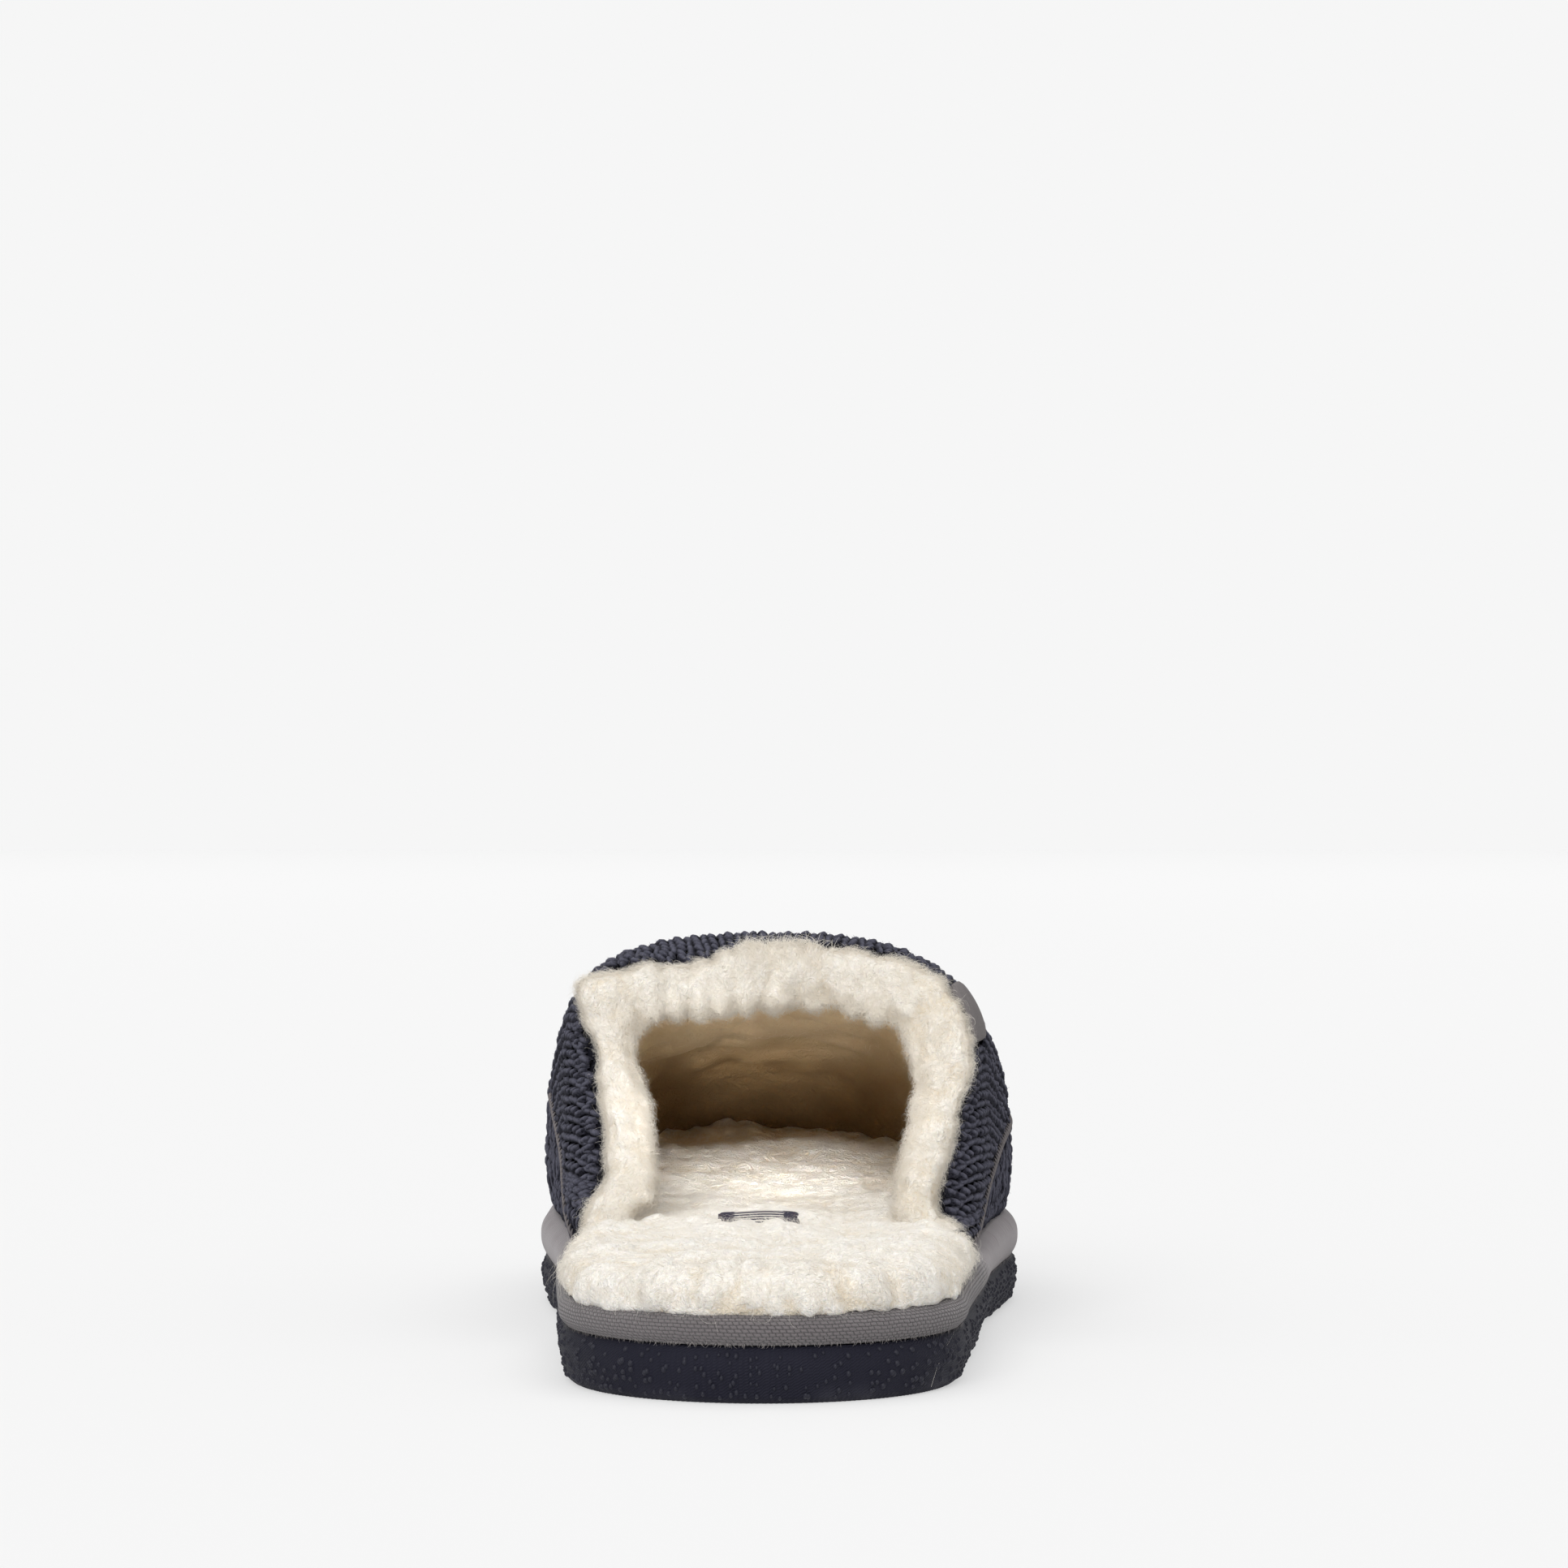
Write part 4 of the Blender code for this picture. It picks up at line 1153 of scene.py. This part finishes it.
over = wall(hem_depth, steps[:1], fans, climbs, floor)[0][0]
inside = body[0]
half_wall, centre = (over - inside) / 2, (over + inside) / 2
rolled = []
for turn in np.linspace(0, math.pi, ROLL_STEPS + 1)[:-1]:
    row = centre + half_wall * math.cos(turn)
    row[:, 1] += 0.0004 - ROLL_REACH * math.sin(turn) ** 0.7
    rolled.append(row)
body = np.concatenate([np.array(rolled), body])
points, faces = two_grids(body, toe, True)
drape = points * (1, 1, 0.55)
within = ease(points[:, 1], 0.0, 0.025)
swell = 0.0008 * rumple(drape, 0.0095, 11)
swell = swell + (0.0008 - 0.0004 * within) * puffs(points, 0.0055, 12) - 0.0003
swell += 0.0006 * (1 - within) * rumple(points, 0.0025, 16)
swell += 0.0014 * within * rumple(points, 0.0062, 17)
at_instep = 1 - ease(points[:, 1], -0.004, 0.004)
raised, lock_ways = lock_relief(INSTEP_LOCKS, points)
swell = swell + raised * at_instep
points = points + smooth_normals(points, faces) * swell[:, None]
# Painted shade: the lining's wool is a darker copy of the insole's cream. Between the given depths it
# also turns tan, then brown, as painted shade deep inside.
lining_fleece = wool_of("lining_fleece", (INSIDE_SHADE_FROM, INSIDE_SHADE_TO), LINING_SHADED_CREAM)
lining = put("lining_cushion", points, faces, lining_fleece, "fleece", tip=0.5 + swell / SWELL_RANGE)
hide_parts("lining")

rng = np.random.default_rng(51)
face_row = np.concatenate([np.repeat(np.arange(len(body) - 1), body.shape[1] - 1),
                           np.full((toe.shape[0] - 1) * (toe.shape[1] - 1), TOE_ROW)])
near_collar = np.where(face_row < RIM_ROWS, 1.0, 0.0) + np.where(face_row < 3, 2.0, 0.0)
near_collar += np.where(np.abs(face_row - 17) < 4, 0.8, 0.0)
roots, up, face = scatter(points, faces, COLLAR_FIBRES, near_collar, rng)
high = ease(roots[:, 2], 0.055, 0.070)[:, None]
inward = unit(np.column_stack([-roots[:, 0] - 0.001, 0 * roots[:, 0], MOUTH_MIDDLE - roots[:, 2]]))
rim_row = face_row[face]
outer = (1 - ease(rim_row, 3, 9))[:, None]
lean = inward * (0.5 - 1.6 * outer) + high * np.array([0, 0, -0.6]) + np.array([0, -0.1, -0.2])
lean = lean + tangle(roots, 0.010, 13)
on_lock = (lock_ways * at_instep[:, None])[faces[face, 0]]
stand = 0.60 + 0.30 * (1 - ease(rim_row, 2, 7))
stand += 0.3 * ease(rim_row, 11, 15) * (1 - ease(rim_row, 20, 24))
grow("collar_pile", roots, up, lean + 3 * on_lock, COLLAR_FIBRE_LONG, stand, rng,
     FIBRE_WIDE * (0.4 + stand))

# Taller tufts stand at the crest, and loose hairs all along the roll
first = points[faces[:, 0]]
top = ease(first[:, 2], 0.0765, 0.0785) * ease(-np.abs(first[:, 0] - 0.0015), -0.012, -0.006)
roots, up, _ = scatter(points, faces, CREST_FIBRES, np.where(face_row < 9, top + 1e-9, 0.0), rng)
lean = np.column_stack([14 * (roots[:, 0] - 0.0015), np.full(len(roots), 0.25), np.full(len(roots), 1.0)])
grow("crest_tufts", roots, up, lean + 0.8 * tangle(roots, 0.004, 23), CREST_FIBRE_LONG, 0.7, rng,
     2 * FIBRE_WIDE, loose=0.35, turn=1.6, steps=6)
roots, up, _ = scatter(points, faces, COLLAR_STRAYS, np.where(face_row < 3, 1.0, 0.0), rng)
outward = np.column_stack([roots[:, 0], 0 * roots[:, 0], roots[:, 2] - MOUTH_MIDDLE])
grow("collar_strays", roots, up, outward, COLLAR_STRAY_LONG, 0.8, rng, turn=8.0, steps=10)

deep = np.where((face_row >= RIM_ROWS) & (face_row < TOE_ROW), 1.0, 0.0)
roots, up, _ = scatter(points, faces, DEEP_FIBRES, deep, rng)
lean = np.array([0, 0.5, -0.4]) + tangle(roots, 0.010, 13)
# Painted shade: the fibres deep inside the shoe are tinted tan like the lining around them.
grow("inner_pile", roots, up, lean, DEEP_FIBRE_LONG, 0.35, rng, finish=fibre_of("shaded_tan_fibre", FIBRE_SHADE_TAN))


# Side tab: a tongue of smooth grey felt sewn flat to the outer side at the collar, with its front corners
# cut round. The knit stops under it, so that it lies level with the yarn.
FELT_DARK, FELT_LIGHT = (0.125, 0.114, 0.113, 1.0), (0.195, 0.179, 0.178, 1.0)
TAB_RINGS = ((0.0012, 1.0), (0.0003, 1.01), (-0.0002, 1.0), (-0.0005, 0.97), (-0.0007, 0.85),
             (-0.0008, 0.4), (-0.0008, 0.0))
felt, w = finish_of("grey_felt", Roughness=0.95, Specular_IOR_Level=0.1)
place = w.place()
nap = w.noise(w.stretch(place, (1.0, 0.4, 1.0)), 3000.0, 3.0, 0.6)
shade = (0.7 * nap + 0.3 * w.noise(place, 150.0)).step(0.25, 0.75)
w.feed(Base_Color=shade.mix(FELT_DARK, FELT_LIGHT))
w.feed(Normal=w.relief(nap, 0.00012, 0.7))
turn = np.linspace(0, 2 * math.pi, 97)[:-1]
square, rounded = ((np.abs(np.cos(turn)) ** k + np.abs(np.sin(turn)) ** k) ** (-1 / k) for k in (8, 5))
reach = np.where(np.cos(turn) > 0, rounded, square)
tab = []
for inset, shrink in TAB_RINGS:
    over = (TAB_LOW + TAB_HIGH) / 2 + (TAB_HIGH - TAB_LOW) / 2 * reach * np.sin(turn) * shrink
    ahead = (0.5 + 0.5 * reach * np.cos(turn) * shrink) * TAB_LENGTH / LENGTH
    tab.append(vamp(along(COLLAR, "station", over) + ahead, 1.0, over, inset))
tab = np.array(tab)
side_tab = put("felt_tab", tab, lattice(*tab.shape[:2], True), felt, "felt")
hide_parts("side_tab")


# Label: a small woven ribbon sewn across the insole, plain navy with pale woven lines, half sunk in the
# pile. A few hairs of the fleece lie over its rear edge.
LABEL_WIDE, LABEL_LONG, LABEL_THICK = 0.017, 0.012, 0.0008
LABEL_LINE, LABEL_HAIRS, LABEL_HAIR_LONG = 0.0021, 60, 0.0045
LABEL_NAVY, LABEL_PALE = (0.030, 0.028, 0.050, 1.0), (0.72, 0.68, 0.62, 1.0)
ribbon, w = finish_of("woven_label", Roughness=0.7, Specular_IOR_Level=0.3)
place = w.place()
rib = abs(2 * ((place.axis(1) / LABEL_LINE) % 1.0) - 1)
pale = rib.step(0.55, 0.7) * (1 - abs(place.axis(0) - float(LABEL_AT[0])).step(0.0048, 0.0054))
grain = w.noise(w.stretch(place, (1.0, 0.3, 1.0)), 3500.0)
w.feed(Base_Color=pale.mix(LABEL_NAVY, LABEL_PALE))
w.feed(Normal=w.relief(grain, 0.0001, 0.6))
low, high = (np.array(corner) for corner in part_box("label"))
centre = (low + high) / 2
under = np.all(np.abs(insole_points[:, :2] - centre[:2]) < (LABEL_WIDE / 2, LABEL_LONG / 2), axis=1)
wool_top = np.median(insole_points[under & (insole_points[:, 2] > low[2] - 0.004), 2])
u, v = np.meshgrid(np.linspace(-1, 1, 25), np.linspace(-1, 1, 17))
crown = (1 - np.abs(u) ** 20) * (1 - np.abs(v) ** 10)
sag = 0.0002 * np.sin(3 * u + 1) + 0.0009 * v
top = np.stack([centre[0] + u * LABEL_WIDE / 2, centre[1] + v * LABEL_LONG / 2,
                wool_top - 0.0002 + LABEL_THICK * crown + sag], axis=-1)
label = put("insole_label", top, lattice(*u.shape)[:, ::-1], ribbon, "woven_label")
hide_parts("label")
rng = np.random.default_rng(61)
roots = np.column_stack([centre[0] + rng.uniform(-0.5, 0.5, LABEL_HAIRS) * LABEL_WIDE,
                         centre[1] - LABEL_LONG / 2 - rng.uniform(0.0, 0.001, LABEL_HAIRS),
                         np.full(LABEL_HAIRS, wool_top)])
up = np.broadcast_to(-DOWN, roots.shape)
grow("label_hairs", roots, up, np.broadcast_to([0.0, 1.0, 0.0], up.shape), LABEL_HAIR_LONG, 0.9, rng)


# Room: a white floor that runs out to an even white backdrop, under broad soft light from above the
# camera, which stands level behind the heel.
CAMERA_AT = (0.00105, -1.0935, 0.11715)
FRAME_PIXELS, FOCAL_PIXELS = 1932, 6218
FLOOR_SHADE, FLOOR_GLOW, BACKDROP_GLOW, WORLD_GLOW = 0.34, 0.507, 0.922, 0.55
Sun = namedtuple("Sun", "name strength softness tilt heading")
SUNS = (Sun("key", 1.36, 30.0, 62.0, -16.0), Sun("top", 1.42, 70.0, 5.0, 0.0))
Beam = namedtuple("Beam", "start end wide high spread power")
BEAMS = (
    Beam((-0.002, -0.60, 0.24), (-0.002, 0.036, 0.030), 0.040, 0.022, 4.2, 0.0096),
    Beam((0.002, -0.60, 0.042), (-0.002, 0.050, 0.052), 0.036, 0.016, 2.0, 0.0014),
)
for name, corners, shade, glow in (
        ("floor", [(-8, -6, 0), (8, -6, 0), (8, 8, 0), (-8, 8, 0)], FLOOR_SHADE, FLOOR_GLOW),
        ("backdrop", [(-8, 7.9, -1), (8, 7.9, -1), (8, 7.9, 6), (-8, 7.9, 6)], 0.0, BACKDROP_GLOW)):
    mesh = bpy.data.meshes.new(name)
    mesh.from_pydata(corners, [], [(0, 1, 2, 3)])
    paper, _ = finish_of(name, Base_Color=(shade, shade, shade, 1.0), Roughness=1.0,
                         Specular_IOR_Level=0.0, Emission_Color=(1, 1, 1, 1), Emission_Strength=glow)
    mesh.materials.append(paper)
    stage = bpy.data.objects.new(name, mesh)
    bpy.context.scene.collection.objects.link(stage)

world = bpy.data.worlds.new("studio")
world.use_nodes = True
sky = world.node_tree.nodes["Background"].inputs
sky["Color"].default_value = (1.0, 1.0, 1.0, 1.0)
sky["Strength"].default_value = WORLD_GLOW
bpy.context.scene.world = world
for sun in SUNS:
    light = bpy.data.lights.new(sun.name, "SUN")
    light.energy = sun.strength
    light.angle = math.radians(sun.softness)
    lamp = bpy.data.objects.new(sun.name, light)
    lamp.rotation_euler = (math.radians(sun.tilt), 0, math.radians(sun.heading))
    bpy.context.scene.collection.objects.link(lamp)

# Two narrow lights reach through the mouth, as the room's own light does in the photograph
for beam in BEAMS:
    light = bpy.data.lights.new("beam", "AREA")
    light.shape = "RECTANGLE"
    light.size, light.size_y = beam.wide, beam.high
    light.spread = math.radians(beam.spread)
    light.energy = beam.power
    lamp = bpy.data.objects.new("beam", light)
    lamp.location = beam.start
    lamp.rotation_euler = (Vector(beam.end) - Vector(beam.start)).to_track_quat("-Z", "Y").to_euler()
    lamp.visible_camera = False
    bpy.context.scene.collection.objects.link(lamp)

camera = bpy.data.cameras.new("camera")
camera.angle = 2 * math.atan(FRAME_PIXELS / 2 / FOCAL_PIXELS)
camera.clip_end = 50.0
eye = bpy.data.objects.new("camera", camera)
eye.location = CAMERA_AT
eye.rotation_euler = (math.radians(90), 0, 0)
bpy.context.scene.collection.objects.link(eye)
bpy.context.scene.camera = eye
bpy.context.scene.view_settings.view_transform = "Standard"
